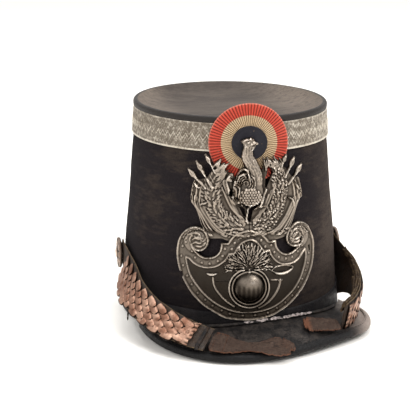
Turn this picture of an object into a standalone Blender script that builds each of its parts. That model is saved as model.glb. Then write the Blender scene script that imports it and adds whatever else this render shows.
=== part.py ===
"""A hard-felt shako of the 1830s, standing on its own base rim.

Lengths in the tables are millimetres. The hat's front faces -Y and +X is on the right of someone who
looks at the front. An azimuth is an angle in degrees round the hat's upright axis, from the front, and
positive towards +X. A stand-off is a distance straight out from the felt wall, away from that axis.
"""
import math

import bmesh
import bpy
import mathutils
import numpy as np
from mathutils import Vector

MM = 0.001
GAP = 0.3
SEGMENTS = 48

# The felt wall's outline: height, half of its width and half of its depth
WALL = (
    (0.0, 84.5, 98.0),
    (30.0, 83.4, 96.7),
    (60.0, 81.3, 94.3),
    (100.0, 77.6, 90.2),
    (140.0, 74.2, 86.8),
    (164.0, 72.6, 85.2),
)
FELT = 2.5
SHELL_TOP = 160.2
CROWN_SLOPE_END = -11.4
LACE_BOTTOM = 139.8
BAND_TOP = 22.5
BAND_LEATHER = 1.5
PEAK_LEATHER = 2.4
BINDING_GRIP = 5.0
BINDING_SKIN = 0.9
STRAP_LEATHER = 1.6
STRAP_HALF_WIDTH = 10.5
SCALE_HALF_WIDTH = 11.3
BOSS_AZIMUTH = 91.0
BOSS_HEIGHT = 44.5

# The peak: azimuth, height of its seam on the body, reach out from the felt, height of its edge
PEAK = (
    (-63.0, 5.0, 5.0, 4.0),
    (-53.0, 6.0, 12.0, 3.6),
    (-43.0, 7.0, 22.0, 3.4),
    (-34.0, 8.0, 32.0, 3.4),
    (-25.0, 9.0, 41.0, 3.4),
    (-16.0, 10.5, 47.0, 3.6),
    (-7.0, 12.5, 48.0, 3.8),
    (2.0, 14.0, 45.5, 4.2),
    (11.0, 14.5, 42.0, 5.0),
    (20.0, 14.0, 39.5, 5.6),
    (29.0, 12.5, 39.5, 6.0),
    (38.0, 10.5, 40.5, 5.8),
    (46.0, 9.0, 36.0, 5.4),
    (54.0, 7.5, 27.5, 4.8),
    (61.0, 6.0, 17.0, 4.3),
    (68.0, 5.0, 5.0, 4.0),
)
PEAK_STATIONS = 34

# The straps: azimuth, height, stand-off, lean of the ribbon away from the body
STRAP_LEFT = (
    (-99.0, 45.5, 2.0, 0.0),
    (-91.0, 44.5, 2.2, 0.0),
    (-84.0, 44.5, 2.8, 2.0),
    (-76.0, 44.0, 6.2, 26.0),
    (-67.0, 40.5, 10.5, 41.0),
    (-56.0, 33.5, 16.5, 46.0),
    (-46.0, 27.0, 22.0, 47.0),
    (-37.0, 22.3, 27.3, 49.0),
    (-29.0, 18.6, 32.0, 54.0),
    (-22.0, 15.4, 35.6, 60.0),
    (-16.0, 13.0, 38.0, 64.0),
)
STRAP_RIGHT = (
    (99.0, 45.5, 2.0, 0.0),
    (91.0, 44.5, 2.2, 0.0),
    (84.0, 41.0, 3.0, -1.0),
    (75.0, 34.5, 7.6, -16.0),
    (67.0, 29.5, 12.0, -24.0),
    (59.0, 25.8, 17.0, -20.0),
    (50.0, 23.2, 22.8, -12.0),
    (41.0, 21.8, 28.5, -11.0),
    (32.0, 20.8, 34.0, -13.0),
)
STRAP_STATIONS = 39
SCALES_FROM = 11
SCALES_SHORT_OF_END = 3

# The loose ends: azimuth, height, stand-off, lean, half-width, thickness
TIE_LEFT = (
    (-15.5, 12.8, 38.2, 64.3, 9.2, 3.0),
    (-12.0, 11.8, 39.2, 66.0, 9.2, 3.0),
    (-11.5, 11.8, 39.3, 67.0, 8.8, 1.6),
    (-8.5, 11.2, 40.0, 70.0, 6.5, 1.6),
    (-6.0, 10.8, 40.6, 72.0, 5.0, 1.8),
    (-3.0, 10.6, 41.2, 74.0, 6.5, 1.6),
    (0.5, 10.6, 41.4, 75.0, 8.5, 1.6),
    (4.0, 10.8, 41.0, 75.0, 9.0, 1.6),
    (6.0, 11.0, 40.0, 75.0, 7.0, 1.6),
    (7.2, 11.2, 39.0, 75.0, 3.0, 1.6),
)
TIE_RIGHT = (
    (31.3, 14.2, 33.6, 70.0, 5.5, 1.6),
    (28.5, 14.2, 30.5, 72.0, 7.5, 1.6),
    (24.5, 14.6, 26.5, 72.0, 8.5, 1.6),
    (20.5, 15.2, 22.6, 72.0, 9.0, 1.6),
    (17.5, 15.6, 20.0, 72.0, 8.0, 1.6),
    (16.0, 15.8, 18.8, 72.0, 4.5, 1.6),
)
THONG_AZIMUTH = -53.0
THONG_LENGTH = 11.0
THONG_RADIUS = 0.6

# The front plate, drawn flat: u runs along the wall from the plate's middle, v is the height
PLATE_AZIMUTH = -2.9
PLATE_REFERENCE = (83.3, 96.3)
PLATE_STAND_OFF = 1.9
PLATE_LIFT = 3.2
PLATE_LIFT_FROM = 84.0
PLATE_LIFT_TO = 117.0
PLATE_SHEET = 1.2
PLATE_CUT = 11.5
PLATE_WELD = 0.25
SHIELD_SIDE = (
    (0.0, 17.6), (12.0, 18.6), (22.0, 21.8), (31.0, 27.0), (39.0, 33.6), (46.0, 41.6),
    (52.0, 50.0), (56.0, 58.5), (57.5, 66.5), (56.0, 74.5), (51.5, 81.5), (44.5, 85.6),
    (37.0, 85.4), (31.5, 81.5), (29.5, 76.0), (32.0, 70.5), (37.0, 68.0),
    (35.0, 66.0), (29.5, 64.3), (24.0, 65.8), (20.6, 70.0), (20.0, 76.0),
    (15.0, 76.5), (11.0, 80.0), (5.0, 83.0), (0.0, 83.8),
)
TROPHY_SIDE = (
    (0.0, 82.0), (14.0, 76.8), (24.0, 76.4), (31.0, 79.5), (36.0, 86.0), (40.5, 95.0),
    (44.0, 101.0), (46.6, 105.5), (46.2, 111.0), (44.0, 118.0), (40.0, 122.0), (34.0, 124.0),
    (28.5, 130.0), (24.5, 137.0), (17.5, 138.2), (14.5, 134.5), (17.0, 128.5), (12.5, 114.0),
    (6.0, 104.0), (3.6, 98.0), (2.2, 91.0), (0.0, 90.0),
)
BIRD = (
    (-3.0, 99.5), (4.5, 98.5), (10.5, 104.0), (13.0, 112.0), (12.6, 120.0), (10.5, 128.0),
    (7.6, 134.0), (4.6, 140.0), (8.0, 147.6), (2.5, 150.6), (-6.4, 149.0), (-4.6, 144.6),
    (-5.0, 138.0), (-2.2, 130.6), (-9.0, 127.4), (-18.0, 125.6), (-19.6, 116.0), (-15.6, 106.0),
    (-8.0, 102.6),
)
BIRD_GAP = ((-14.6, 115.0), (-12.6, 116.0), (-11.6, 110.0), (-13.6, 108.6))
INNER_RIM_SIDE = (
    (0.0, 23.6), (10.0, 24.6), (19.5, 28.0), (28.0, 33.0), (36.0, 39.6), (43.0, 48.6), (47.0, 57.0),
    (48.4, 64.0), (41.0, 59.0), (33.0, 57.0), (25.5, 58.6), (19.0, 63.4), (15.0, 68.0),
    (9.6, 69.2), (7.6, 73.6), (4.0, 76.0), (0.0, 76.8),
)
# The spear heads behind the flags: foot, tip, half-width and crest, right side
SPEARS = (
    ((37.0, 116.0), (47.0, 128.2), 2.3, 1.0),
    ((31.0, 119.0), (40.0, 134.0), 2.1, 1.0),
    ((25.0, 125.0), (31.6, 138.6), 1.9, 1.0),
)
# The laurel leaves and flag folds: foot, tip, half-width, crest height, right side
LEAVES = (
    ((6.0, 95.0), (13.0, 102.0), 2.6, 1.5),
    ((12.0, 92.0), (20.0, 98.0), 2.6, 1.5),
    ((19.0, 93.0), (25.0, 102.0), 2.6, 1.5),
    ((14.0, 100.0), (21.0, 108.0), 2.6, 1.6),
    ((20.0, 104.0), (26.0, 113.0), 2.6, 1.6),
    ((15.5, 110.0), (21.0, 119.0), 2.6, 1.6),
    ((22.0, 114.0), (27.5, 123.0), 2.5, 1.5),
    ((18.0, 121.0), (22.0, 130.5), 2.3, 1.4),
    ((23.5, 124.0), (25.0, 133.0), 2.0, 1.3),
)
# The bird's breast, neck, tail and legs
BIRD_RELIEF = (
    ((8.0, 103.0), (-5.0, 127.0), 7.5, 3.0),
    ((9.0, 119.0), (-1.0, 146.0), 3.2, 2.8),
    ((-10.5, 104.0), (-16.0, 124.5), 3.2, 1.8),
    ((2.0, 99.0), (7.0, 110.0), 2.6, 2.2),
)
FOLDS = (
    ((27.0, 82.0), (44.0, 108.0), 3.4, 1.5),
    ((33.0, 100.0), (41.0, 119.0), 3.6, 1.7),
    ((25.0, 84.0), (36.0, 99.0), 2.6, 1.4),
)
BALL_CENTRE = (0.0, 43.3)
BALL_RADIUS = 10.4
BALL_CREST = 5.0
HORN_RING_RADIUS = 13.4
# The horn's two arms
HORN_MOUTH = ((-4.0, 28.6), (-12.0, 31.2), (-20.0, 38.0), (-25.0, 46.0), (-26.6, 51.0))
HORN_BELL = ((3.0, 28.2), (11.0, 30.6), (18.0, 36.6), (22.6, 44.0), (25.0, 50.0))
FLAMES = 7
FLAME_SPREAD = 62.0
FLAME_LENGTH = 18.0

COCKADE_HEIGHT = 147.3
COCKADE_ACROSS = 0.4
COCKADE_STRETCH = 1.1
COCKADE_STAND_OFF = 2.0
PLEATS = 32
# The cockade's rings: radius, height of the pleats' crests and of their valleys
COCKADE_RINGS = (
    (4.0, 2.5, 2.5),
    (11.4, 2.2, 2.2),
    (12.2, 1.5, 0.9),
    (20.0, 1.7, 0.9),
    (27.6, 1.8, 0.9),
    (28.5, 1.3, 0.8),
)


def wall_half_sizes(height):
    heights, widths, depths = zip(*WALL)
    return np.interp(height, heights, widths), np.interp(height, heights, depths)


def wall_point(azimuth, height, stand_off=0.0):
    turn = math.radians(azimuth)
    half_width, half_depth = wall_half_sizes(height)
    reach = 1.0 / math.hypot(math.sin(turn) / half_width, math.cos(turn) / half_depth) + stand_off
    return Vector((reach * math.sin(turn), -reach * math.cos(turn), height))


def wall_normal(azimuth, height):
    point = wall_point(azimuth, height)
    half_width, half_depth = wall_half_sizes(height)
    return Vector((point.x / half_width ** 2, point.y / half_depth ** 2, 0.0)).normalized()


def wall_ring(height, stand_off, shrink=1.0):
    ring = []
    for index in range(SEGMENTS):
        point = wall_point(360.0 * index / SEGMENTS, height, stand_off)
        ring.append(Vector((point.x * shrink, point.y * shrink, height)))
    return ring


def smooth_rows(rows, count):
    """Rows read from a smooth curve through the given rows, evenly by row number."""
    table = np.array(rows, dtype=float)
    padded = np.vstack([2 * table[0] - table[1], table, 2 * table[-1] - table[-2]])
    result = []
    for place in np.linspace(0.0, len(table) - 1, count):
        start = min(int(place), len(table) - 2)
        part = place - start
        before, first, second, after = padded[start:start + 4]
        result.append(0.5 * (2 * first + (second - before) * part
                             + (2 * before - 5 * first + 4 * second - after) * part ** 2
                             + (3 * first - before - 3 * second + after) * part ** 3))
    return result


def material(name, colour, roughness, metallic=0.0):
    made = bpy.data.materials.new(name)
    made.use_nodes = True
    shader = made.node_tree.nodes["Principled BSDF"]
    shader.inputs["Base Color"].default_value = (*colour, 1.0)
    shader.inputs["Roughness"].default_value = roughness
    shader.inputs["Metallic"].default_value = metallic
    return made


def loft(bm, rings, closed=False, caps=None):
    """Faces between neighbouring rings; closed joins the last ring to the first, else both are capped."""
    loops = [[bm.verts.new(point) for point in ring] for ring in rings]
    pairs = list(zip(loops, loops[1:]))
    if closed:
        pairs.append((loops[-1], loops[0]))
    else:
        for cap in caps or (range(len(rings[0])),):
            bm.faces.new([loops[0][index] for index in cap])
            bm.faces.new([loops[-1][index] for index in cap])
    for lower, upper in pairs:
        for index in range(len(lower)):
            after = (index + 1) % len(lower)
            bm.faces.new((lower[index], lower[after], upper[after], upper[index]))


def make_object(name, bm, finish, origin, smooth_below=35.0):
    """One closed body in metres, parented to the hat's origin."""
    bmesh.ops.triangulate(bm, faces=[face for face in bm.faces if len(face.verts) > 4])
    bmesh.ops.recalc_face_normals(bm, faces=bm.faces)
    bmesh.ops.scale(bm, vec=(MM, MM, MM), verts=bm.verts)
    mesh = bpy.data.meshes.new(name)
    bm.to_mesh(mesh)
    bm.free()
    mesh.shade_smooth()
    mesh.set_sharp_from_angle(angle=math.radians(smooth_below))
    mesh.materials.append(finish)
    made = bpy.data.objects.new(name, mesh)
    bpy.context.scene.collection.objects.link(made)
    made.parent = origin
    return made


def turned(name, section, finish, origin, closed=True):
    """A body that follows the oval wall; each row of the section is height, stand-off and shrink."""
    bm = bmesh.new()
    loft(bm, [wall_ring(*row) for row in section], closed)
    return make_object(name, bm, finish, origin)


def body_shell(finish, origin):
    heights = [row[0] for row in WALL if row[0] < SHELL_TOP] + [SHELL_TOP]
    outside = [(height, 0.0) for height in heights]
    inside = [(height, -FELT) for height in reversed(heights)]
    return turned("body_shell", outside + inside, finish, origin)


def crown_rim(finish, origin):
    """The rolled rim and the slope down to the sunken top, as one ring."""
    seat = SHELL_TOP + GAP
    section = (
        (seat, -6.0), (seat, 1.4), (seat + 2.2, 1.7), (seat + 3.8, 1.1), (seat + 4.4, -0.8),
        (seat + 3.7, -3.2), (seat + 0.4, -8.6), (157.4, CROWN_SLOPE_END), (155.4, CROWN_SLOPE_END),
    )
    return turned("crown_rim", section, finish, origin)


def crown_top(finish, origin):
    edge = CROWN_SLOPE_END - GAP
    section = ((154.0, 0.0, 0.35), (154.6, edge), (156.8, edge), (156.0, 0.0, 0.35))
    return turned("crown_top", section, finish, origin, closed=False)


def galloon_band(finish, origin):
    section = (
        (LACE_BOTTOM, GAP), (LACE_BOTTOM, 1.7), (LACE_BOTTOM + 2.4, 1.7), (LACE_BOTTOM + 2.9, 1.3),
        (SHELL_TOP - 2.6, 1.3), (SHELL_TOP - 2.1, 1.6), (SHELL_TOP, 1.6), (SHELL_TOP, GAP),
    )
    return turned("galloon_band", section, finish, origin)


def base_band(finish, origin):
    bottom = 0.6
    section = ((bottom, GAP), (bottom, BAND_LEATHER), (BAND_TOP - 1.0, BAND_LEATHER),
               (BAND_TOP, BAND_LEATHER - 0.5), (BAND_TOP, GAP))
    return turned("base_band", section, finish, origin)


def peak_middle(row, stand_off):
    """Height of the peak leather's middle plane at a stand-off, for one row of the peak's table."""
    seam, reach, edge = row[1:]
    inner = BAND_LEATHER + GAP
    across = (stand_off - inner) / max(reach - inner, 1.0)
    swell = 0.035 * (reach - inner) * math.sin(math.pi * min(max(across, 0.0), 1.0))
    return seam + (edge - seam) * across + swell


def peak(finish, origin):
    inner = BAND_LEATHER + GAP
    rings = []
    for row in smooth_rows(PEAK, PEAK_STATIONS):
        outer = max(row[2] - BINDING_SKIN - GAP, inner + 1.0)
        top = []
        under = []
        for across in (0.0, 0.25, 0.5, 0.75, 1.0):
            stand_off = inner + (outer - inner) * across
            top.append(peak_point(row, stand_off, PEAK_LEATHER / 2))
            under.append(peak_point(row, stand_off, -PEAK_LEATHER / 2))
        rings.append(top + under[::-1])
    bm = bmesh.new()
    loft(bm, rings)
    return make_object("peak", bm, finish, origin)


def peak_point(row, stand_off, above):
    """A point at a stand-off from the felt's base and a height above the peak's middle plane."""
    point = wall_point(row[0], 0.0, stand_off)
    point.z = peak_middle(row, stand_off) + above
    return point


def peak_binding(finish, origin):
    slot = PEAK_LEATHER / 2 + GAP
    skin = slot + BINDING_SKIN
    section = (
        (-BINDING_GRIP, slot), (-BINDING_SKIN, slot), (-BINDING_SKIN, -slot), (-BINDING_GRIP, -slot),
        (-BINDING_GRIP, -skin), (-1.6, -skin), (0.0, -0.5 * skin), (0.0, 0.5 * skin), (-1.6, skin),
        (-BINDING_GRIP, skin),
    )
    caps = ((0, 1, 8, 9), (1, 7, 8), (1, 2, 6, 7), (2, 5, 6), (2, 3, 4, 5))
    rings = []
    for row in smooth_rows(PEAK, PEAK_STATIONS):
        if row[2] > BAND_LEATHER + GAP + BINDING_GRIP + 4.0:
            rings.append([peak_point(row, row[2] + outward, above) for outward, above in section])
    bm = bmesh.new()
    loft(bm, rings, caps=caps)
    return make_object("peak_binding", bm, finish, origin)


def tube_ring(centre, along, up, radius, sides=8):
    across = along.cross(up).normalized()
    above = across.cross(along).normalized()
    ring = []
    for index in range(sides):
        turn = 2 * math.pi * index / sides
        ring.append(centre + across * radius * math.cos(turn) + above * radius * math.sin(turn))
    return ring


def path_rings(centres, ups, radii, sides=8):
    rings = []
    last = len(centres) - 1
    for index, centre in enumerate(centres):
        along = (centres[min(index + 1, last)] - centres[max(index - 1, 0)]).normalized()
        rings.append(tube_ring(centre, along, ups[index], radii[index], sides))
    return rings


def peak_seam_welt(finish, origin):
    radius = 1.2
    stand_off = BAND_LEATHER + GAP + radius
    rows = [row for row in smooth_rows(PEAK, PEAK_STATIONS) if -34.0 < row[0] < 50.0]
    centres = [peak_point(row, stand_off, PEAK_LEATHER / 2 + GAP + radius) for row in rows]
    ups = [Vector((0, 0, 1)) for row in rows]
    radii = [0.6] + [radius] * (len(rows) - 2) + [0.6]
    bm = bmesh.new()
    loft(bm, path_rings(centres, ups, radii, 6))
    return make_object("peak_seam_welt", bm, finish, origin)


def ribbon_frames(rows, count):
    """Centre, travel, way to the upper edge and outward way of a ribbon at evenly read rows."""
    table = smooth_rows(rows, count)
    centres = [wall_point(row[0], row[1], row[2]) for row in table]
    frames = []
    last = count - 1
    for index, row in enumerate(table):
        travel = (centres[min(index + 1, last)] - centres[max(index - 1, 0)]).normalized()
        outward = wall_normal(row[0], row[1])
        outward = (outward - travel * outward.dot(travel)).normalized()
        upward = outward.cross(travel)
        if upward.z < 0:
            upward = -upward
        lean = math.radians(row[3])
        edge_way = upward * math.cos(lean) - outward * math.sin(lean)
        face_way = outward * math.cos(lean) + upward * math.sin(lean)
        frames.append((centres[index], edge_way, face_way, row))
    return frames


def strap(name, rows, finish, origin):
    rings = []
    corners = ((1, 1), (-1, 1), (-1, -1), (1, -1))
    for centre, edge_way, face_way, row in ribbon_frames(rows, STRAP_STATIONS):
        across = edge_way * STRAP_HALF_WIDTH
        out = face_way * STRAP_LEATHER / 2
        rings.append([centre + across * side + out * face for side, face in corners])
    bm = bmesh.new()
    loft(bm, rings)
    return make_object(name, bm, finish, origin)


def scales(name, rows, finish, origin):
    """Overlapping rows of scales as one stepped body on the strap's outer face."""
    frames = ribbon_frames(rows, STRAP_STATIONS)[SCALES_FROM:STRAP_STATIONS - SCALES_SHORT_OF_END]
    back = STRAP_LEATHER / 2 + GAP
    columns = (-1.0, -0.68, -0.34, 0.0, 0.34, 0.68, 1.0)
    rings = []
    for step, (centre, edge_way, face_way, row) in enumerate(frames):
        raised = 1.0 if step % 2 else 0.0
        ring = []
        for number, column in enumerate(columns):
            scallop = 0.55 if number % 2 else 0.0
            height = back + 0.7 + 0.9 * raised + scallop
            ring.append(centre + edge_way * SCALE_HALF_WIDTH * column + face_way * height)
        ring.append(centre + edge_way * SCALE_HALF_WIDTH + face_way * back)
        ring.append(centre - edge_way * SCALE_HALF_WIDTH + face_way * back)
        rings.append(ring)
    bm = bmesh.new()
    loft(bm, rings)
    return make_object(name, bm, finish, origin)


def boss(name, azimuth, finish, origin):
    """A turned rosette whose foot sits on the strap's leather."""
    strap_stand_off = STRAP_LEFT[1][2]
    foot = strap_stand_off + STRAP_LEATHER / 2 + GAP + 0.1
    section = ((foot, 7.0), (foot + 1.3, 11.6), (foot + 2.0, 11.9), (foot + 2.8, 10.8), (foot + 2.6, 8.8),
               (foot + 3.6, 7.6), (foot + 4.6, 4.6), (foot + 5.0, 1.5))
    out = wall_normal(azimuth, BOSS_HEIGHT)
    middle = wall_point(azimuth, BOSS_HEIGHT)
    rings = []
    for along, radius in section:
        rings.append(tube_ring(middle + out * along, out, Vector((0, 0, 1)), radius, 24))
    bm = bmesh.new()
    loft(bm, rings)
    return make_object(name, bm, finish, origin)


def tie(name, rows, finish, origin):
    rings = []
    corners = ((1, 1), (0, 1), (-1, 1), (-1, -1), (0, -1), (1, -1))
    for centre, edge_way, face_way, row in ribbon_frames(rows, 2 * len(rows) - 1):
        across = edge_way * row[4]
        out = face_way * row[5] / 2
        rings.append([centre + across * side + out * face for side, face in corners])
    bm = bmesh.new()
    loft(bm, rings)
    return make_object(name, bm, finish, origin)


def strap_thong(finish, origin):
    frames = ribbon_frames(STRAP_LEFT, 200)
    centre, edge_way, face_way, row = min(frames, key=lambda frame: abs(frame[3][0] - THONG_AZIMUTH))
    behind = STRAP_LEATHER / 2 + GAP + 1.6 * THONG_RADIUS
    foot = centre - edge_way * (STRAP_HALF_WIDTH - 1.5) - face_way * behind
    centres = [foot, foot - Vector((0, 0, THONG_LENGTH * 0.5)), foot - Vector((0.6, 0.4, THONG_LENGTH))]
    bm = bmesh.new()
    loft(bm, path_rings(centres, [Vector((1, 0, 0))] * 3, [THONG_RADIUS] * 3, 6))
    return make_object("strap_thong", bm, finish, origin)


def wrap(across, height, out):
    """A point of a flat drawing laid round the front of the wall."""
    half_width, half_depth = PLATE_REFERENCE
    turns = np.linspace(-1.2, 1.2, 241)
    steps = np.hypot(half_width * np.cos(turns), half_depth * np.sin(turns)) * (turns[1] - turns[0])
    lengths = np.cumsum(steps) - steps[0]
    middle = math.atan(math.tan(math.radians(PLATE_AZIMUTH)) * half_depth / half_width)
    turn = np.interp(np.interp(middle, turns, lengths) + across, lengths, turns)
    wall_width, wall_depth = wall_half_sizes(height)
    return Vector(((wall_width + out) * math.sin(turn), -(wall_depth + out) * math.cos(turn), height))


def mirrored(side):
    """A closed outline from its right side, listed from the middle below to the middle above."""
    left = [(-across, height) for across, height in reversed(side) if across > 0.01]
    return list(side) + left


def inside(point, outline):
    """Whether a flat point lies inside a closed outline, by counting the sides that it passes below."""
    crossings = 0
    for start, end in zip(outline, outline[1:] + outline[:1]):
        if (start[1] > point[1]) != (end[1] > point[1]):
            along = (point[1] - start[1]) / (end[1] - start[1])
            crossings += point[0] < start[0] + along * (end[0] - start[0])
    return crossings % 2 == 1


def path_distance(point, path):
    """Distance from a flat point to a path, and how far along the nearest side its foot lies."""
    nearest = (1e9, 0.0)
    for number, (start, end) in enumerate(zip(path, path[1:])):
        side = (end[0] - start[0], end[1] - start[1])
        length = side[0] ** 2 + side[1] ** 2
        along = ((point[0] - start[0]) * side[0] + (point[1] - start[1]) * side[1]) / length
        along = min(max(along, 0.0), 1.0)
        away = math.hypot(point[0] - start[0] - along * side[0], point[1] - start[1] - along * side[1])
        nearest = min(nearest, (away, number + along))
    return nearest


def ridge(path, half_width, crest):
    """A ridge with a sharp crest: the lines that it needs in the mesh, and its height at a point."""
    sides = []
    last = len(path) - 1
    for sign in (1, -1):
        side = []
        for index, point in enumerate(path):
            before, after = path[max(index - 1, 0)], path[min(index + 1, last)]
            way = Vector((after[0] - before[0], after[1] - before[1])).normalized()
            side.append((point[0] + sign * half_width * way.y, point[1] - sign * half_width * way.x))
        sides.append(side)

    def height(point):
        return crest * (1.0 - path_distance(point, path)[0] / half_width)
    return [list(path)] + sides, height


def circle(centre, radius, sides):
    points = []
    for index in range(sides + 1):
        turn = 2 * math.pi * index / sides
        points.append((centre[0] + radius * math.cos(turn), centre[1] + radius * math.sin(turn)))
    return points


def dome(centre, radius, crest, sides):
    lines = [circle(centre, radius * part, sides) for part in (1.0, 0.93, 0.62, 0.25)]

    def height(point):
        part = math.hypot(point[0] - centre[0], point[1] - centre[1]) / radius
        return crest * math.sqrt(max(1.0 - part * part, 0.0))
    return lines, height


def leaf(foot, tip, half_width, crest):
    """A leaf with a raised midrib; it is widest a little nearer to its foot."""
    start, end = Vector(foot), Vector(tip)
    way = (end - start).normalized()
    side = Vector((way.y, -way.x)) * half_width
    wide = start.lerp(end, 0.45)
    outline = [tuple(start), tuple(wide + side), tuple(end), tuple(wide - side), tuple(start)]
    length = (end - start).length

    def height(point):
        along = (Vector(point) - start).dot(way) / length
        if not 0.0 < along < 1.0:
            return 0.0
        room = half_width * (along / 0.45 if along < 0.45 else (1.0 - along) / 0.55)
        across = abs((Vector(point) - start).dot(side)) / half_width
        return crest * min(1.0, 2.0 * room / half_width) * max(1.0 - across / max(room, 0.01), 0.0)
    return [outline, [tuple(start), tuple(wide), tuple(end)]], height


def swap_side(points):
    return [(-point[0], point[1]) for point in points]


def plate_relief():
    """Everything that stands up from the stamped sheet, as pairs of mesh lines and a height function."""
    rim = mirrored(INNER_RIM_SIDE)
    shapes = [ridge(rim + rim[:1], 1.1, 1.3)]
    border = [(across * 0.972, 18.9 + (height - 17.6) * 0.965) for across, height in SHIELD_SIDE[:13]]
    shapes += [ridge(border, 1.0, 1.3), ridge(swap_side(border), 1.0, 1.3)]
    shapes += [dome((38.5, 76.2), 5.6, 2.2, 10), dome((-38.5, 76.2), 5.6, 2.2, 10)]
    shapes += [dome(BALL_CENTRE, BALL_RADIUS, BALL_CREST, 14)]
    shapes += [ridge(circle(BALL_CENTRE, HORN_RING_RADIUS, 16), 1.5, 2.2)]
    shapes += [ridge(HORN_MOUTH, 1.3, 1.6), ridge(HORN_BELL, 2.6, 2.2)]
    shapes += [leaf((16.0, 51.6), (34.5, 52.4), 3.0, 2.2), leaf((-31.5, 51.6), (-22.0, 51.8), 2.0, 1.8)]
    for index in range(FLAMES):
        turn = math.radians(FLAME_SPREAD * (2.0 * index / (FLAMES - 1) - 1.0))
        length = FLAME_LENGTH * (1.0 - 0.25 * abs(math.sin(turn)))
        foot = (4.0 * math.sin(turn), 55.0 + 2.0 * math.cos(turn))
        tip = (foot[0] + length * math.sin(turn), foot[1] + length * math.cos(turn))
        shapes.append(leaf(foot, tip, 1.9, 1.6))
    for foot, tip, half_width, crest in LEAVES + FOLDS + SPEARS:
        shapes.append(leaf(foot, tip, half_width, crest))
        shapes.append(leaf(*swap_side((foot, tip)), half_width, crest))
    shapes += [leaf(*row) for row in BIRD_RELIEF]
    return shapes


def plate_outlines():
    outlines = [mirrored(SHIELD_SIDE), mirrored(TROPHY_SIDE), list(BIRD)]
    for foot, tip, half_width, crest in SPEARS:
        for ends in ((foot, tip), swap_side((foot, tip))):
            outlines.append(leaf(*ends, half_width, crest)[0][0][:-1])
    return outlines


def flat_plate():
    """Flat points, triangles and relief heights of the stamped sheet, pierced where the real one is."""
    outlines = plate_outlines()
    holes = [list(BIRD_GAP)]
    shapes = plate_relief()
    lines = [outline + outline[:1] for outline in outlines + holes]
    for mesh_lines, height in shapes:
        lines += mesh_lines
    points = []
    edges = []
    for line in lines:
        first = len(points)
        points += [Vector(point) for point in line]
        edges += [(first + index, first + index + 1) for index in range(len(line) - 1)]
    for across in np.arange(-5, 6) * PLATE_CUT:
        points += [Vector((across, height)) for height in np.arange(20.0, 150.0, PLATE_CUT)]
    made = mathutils.geometry.delaunay_2d_cdt(points, edges, [], 0, PLATE_WELD)
    flat = made[0]
    kept = []
    for corners in made[2]:
        middle = sum((flat[corner] for corner in corners), Vector((0, 0))) / 3
        if any(inside(middle, outline) for outline in outlines) and not inside(middle, holes[0]):
            kept.append(corners)
    heights = [max(0.0, max(height(point) for mesh_lines, height in shapes)) for point in flat]
    return flat, kept, heights


def plate_lift(height):
    part = min(max((height - PLATE_LIFT_FROM) / (PLATE_LIFT_TO - PLATE_LIFT_FROM), 0.0), 1.0)
    return PLATE_STAND_OFF + PLATE_LIFT * part * part * (3 - 2 * part)


def front_plate(finish, origin):
    flat, triangles, heights = flat_plate()
    bm = bmesh.new()
    used = sorted({corner for corners in triangles for corner in corners})
    back = {}
    front = {}
    for corner in used:
        across, height = flat[corner]
        stand_off = plate_lift(height)
        back[corner] = bm.verts.new(wrap(across, height, stand_off))
        front[corner] = bm.verts.new(wrap(across, height, stand_off + PLATE_SHEET + heights[corner]))
    sides = {}
    for corners in triangles:
        bm.faces.new([front[corner] for corner in corners])
        bm.faces.new([back[corner] for corner in reversed(corners)])
        for start, end in zip(corners, corners[1:] + corners[:1]):
            sides[(start, end)] = sides.get((start, end), 0) + 1
    for start, end in sides:
        if (end, start) not in sides:
            bm.faces.new((front[end], front[start], back[start], back[end]))
    return make_object("front_plate", bm, finish, origin, smooth_below=25.0)


def cockade(finish, origin):
    sides = 2 * PLEATS
    rings = []
    back = [(28.5, 0.0, 0.0)]
    for radius, crest, valley in list(COCKADE_RINGS) + back:
        ring = []
        for index in range(sides):
            turn = 2 * math.pi * index / sides
            level = crest if index % 2 else valley
            ring.append(wrap(COCKADE_ACROSS + COCKADE_STRETCH * radius * math.sin(turn),
                             COCKADE_HEIGHT + radius * math.cos(turn), COCKADE_STAND_OFF + level))
        rings.append(ring)
    bm = bmesh.new()
    loft(bm, rings)
    return make_object("cockade", bm, finish, origin)


def settle(origin):
    """Moves the hat so that the middle of its box stands over the world's origin."""
    pieces = [piece for piece in bpy.data.objects if piece.type == "MESH"]
    for axis in (0, 1):
        places = [vert.co[axis] for piece in pieces for vert in piece.data.vertices]
        origin.location[axis] = -(min(places) + max(places)) / 2


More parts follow.
